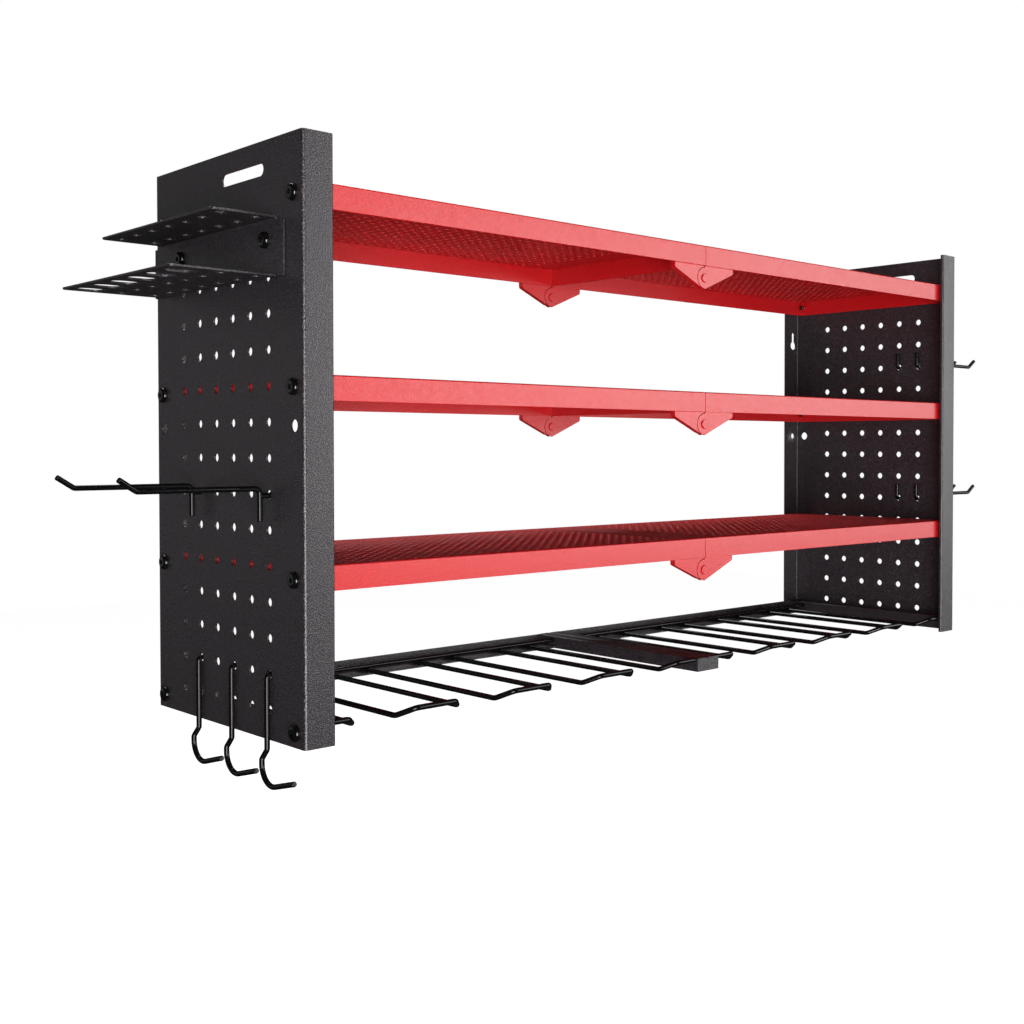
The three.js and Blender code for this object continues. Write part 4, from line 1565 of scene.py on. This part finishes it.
@dataclass
class CableHook:
    """A peg hook whose leg hangs down the panel, jogs outwards and curls forwards."""

    layout: Layout
    column: int = 2
    row: int = 2
    wire: float = 0.004
    bend: float = 0.003
    leg: float = 0.053
    jog: float = 0.0042
    jog_drop: float = 0.006
    curl: float = 0.014
    curl_turn: float = 105.0
    reach: float = 0.027
    curl_steps: int = 14
    cap: float = 0.0006

    def model(self, name: str, node: str) -> Object:
        """Bends the hook of one solid on the left panel."""
        _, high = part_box(node)
        radius = self.wire / 2
        leg = -(self.layout.half_width + SEAT + radius)
        peg = -(self.layout.half_width - self.layout.sheet - SEAT - radius)
        y, z = self.layout.peg_y(self.column), self.layout.peg_z(self.row)
        jog_end = z - self.leg - self.jog_drop
        curl_z = jog_end - self.bend
        out = leg - self.jog
        route = [(peg, high.z), (peg, z), (leg, z), (leg, z - self.leg), (out, jog_end), (out, curl_z)]
        points = [Vector((x, y, height)) for x, height in route]
        former = WireFormer(radius)
        former.start(name, points[0], points[1])
        for corner, after in zip(points[1:-1], points[2:]):
            former.round_corner(corner, after, self.bend)
        former.run(points[-1])
        centre = points[-1] - Axis.Y.step(self.curl)
        former.swing(centre, Vector((-1.0, 0.0, 0.0)), math.radians(self.curl_turn), self.curl_steps)
        former.run(former.place + former.heading * self.reach)
        body = former.close()
        soften(body, self.cap, segments=3, angle=WIRE_ANGLE)
        return body

    def build(self) -> None:
        """Makes one hook and copies it to the other two places."""
        nodes = [f"cable_hook_{place}" for place in ("rear", "middle", "front")]
        share(self.model(f"{nodes[0]}_piece", nodes[0]), WIRE, nodes, moving=True)


@dataclass(frozen=True)
class Softbox:
    """One area light that faces the rack and that the camera doesn't see."""

    name: str
    place: tuple[float, float, float]
    size: tuple[float, float]
    power: float

    def add(self, aim: Vector) -> None:
        """Adds the light, turned towards a point."""
        turn = (aim - Vector(self.place)).to_track_quat("-Z", "Y").to_euler()
        bpy.ops.object.light_add(type="AREA", location=self.place, rotation=turn)
        lamp = bpy.context.active_object
        lamp.name = self.name
        lamp.data.shape = "RECTANGLE"
        lamp.data.size, lamp.data.size_y = self.size
        lamp.data.energy = self.power
        lamp.visible_camera = False


SOFTBOXES = (
    Softbox("front_softbox", (2.05, -2.35, 0.2), (2.5, 1.5), 55.0),
    Softbox("top_softbox", (0.3, 1.1, 2.2), (2.0, 2.0), 75.0),
    Softbox("fill_softbox", (-1.5, -2.2, -0.55), (1.3, 1.3), 84.0),
    Softbox("side_softbox", (-2.3, 3.0, 0.2), (2.2, 2.2), 3.6),
)


@dataclass
class Studio:
    """The camera, the soft lights, the pale world and the floor."""

    lens: float = 44.92
    sensor: float = 36.0
    shift: tuple[float, float] = (-0.0766, -0.0352)
    eye: tuple[float, float, float] = (-0.8790, -0.9779, -0.1416)
    yaw: float = 43.85
    pitch: float = -1.23
    aim: tuple[float, float, float] = (0.0, -0.11, -0.12)
    floor_drop: float = 0.75
    floor_size: float = 14.0
    floor_grey: float = 0.6
    floor_roughness: float = 0.9
    floor_glow: float = 0.97
    world_level: float = 0.02

    def camera(self) -> None:
        """Puts the camera where the photograph was taken from."""
        bpy.ops.object.camera_add(
            location=self.eye,
            rotation=(math.radians(90 + self.pitch), 0.0, math.radians(-self.yaw)),
        )
        camera = bpy.context.active_object
        camera.name = "photo_camera"
        camera.data.lens = self.lens
        camera.data.sensor_width = self.sensor
        camera.data.shift_x, camera.data.shift_y = self.shift
        bpy.context.scene.camera = camera

    @staticmethod
    def seen_white(tree: bpy.types.NodeTree) -> bpy.types.NodeSocket:
        """A factor that is one for rays from the camera and zero for all others."""
        return tree.nodes.new("ShaderNodeLightPath").outputs["Is Camera Ray"]

    def world(self) -> None:
        """Gives the world a soft grey light and a white look."""
        world = bpy.data.worlds.new("studio")
        world.use_nodes = True
        bpy.context.scene.world = world
        tree = world.node_tree
        light = tree.nodes["Background"]
        light.inputs["Color"].default_value = WHITE
        light.inputs["Strength"].default_value = self.world_level
        look = add_node(tree, "ShaderNodeBackground", {"Color": WHITE}, {})
        mix = tree.nodes.new("ShaderNodeMixShader")
        tree.links.new(self.seen_white(tree), mix.inputs["Fac"])
        tree.links.new(light.outputs["Background"], mix.inputs[1])
        tree.links.new(look.outputs["Background"], mix.inputs[2])
        tree.links.new(mix.outputs["Shader"], tree.nodes["World Output"].inputs["Surface"])

    def floor(self) -> None:
        """Lays the pale floor well below the rack."""
        low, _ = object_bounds()
        bpy.ops.mesh.primitive_plane_add(size=self.floor_size, location=(0.0, 0.0, low.z - self.floor_drop))
        floor = settle("floor")
        material, shader = new_material("pale floor")
        tree = material.node_tree
        shader.inputs["Base Color"].default_value = (*[self.floor_grey] * 3, 1.0)
        shader.inputs["Roughness"].default_value = self.floor_roughness
        shader.inputs["Emission Color"].default_value = WHITE
        glow = tree.nodes.new("ShaderNodeMath")
        glow.operation = "MULTIPLY"
        glow.inputs[1].default_value = self.floor_glow
        tree.links.new(self.seen_white(tree), glow.inputs[0])
        tree.links.new(glow.outputs["Value"], shader.inputs["Emission Strength"])
        floor.data.materials.append(material)
        floor.visible_glossy = False
        floor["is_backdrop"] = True

    def build(self) -> None:
        """Sets up the whole studio."""
        bpy.context.scene.view_settings.view_transform = "Standard"
        self.camera()
        for softbox in SOFTBOXES:
            softbox.add(Vector(self.aim))
        self.world()
        self.floor()
        log.info("studio ready")


def main() -> None:
    """Builds the studio and every piece of the rack."""
    logging.basicConfig(level=logging.INFO, format="%(message)s")
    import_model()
    Studio().build()
    layout = Layout.read()
    for side in Side:
        SidePanel(layout, side).build()
        ShelfHalf(side).build()
        RackFrame(side).build()
        WireComb(side).build()
    for end in End:
        ShelfHinge(end).build()
    screw = ButtonScrew()
    screw.build()
    JoinBolt().build()
    ToolHolder(layout).build()
    HolderBolt(screw).build()
    ProngHook(layout).build()
    CableHook(layout).build()


if __name__ == "__main__":
    main()
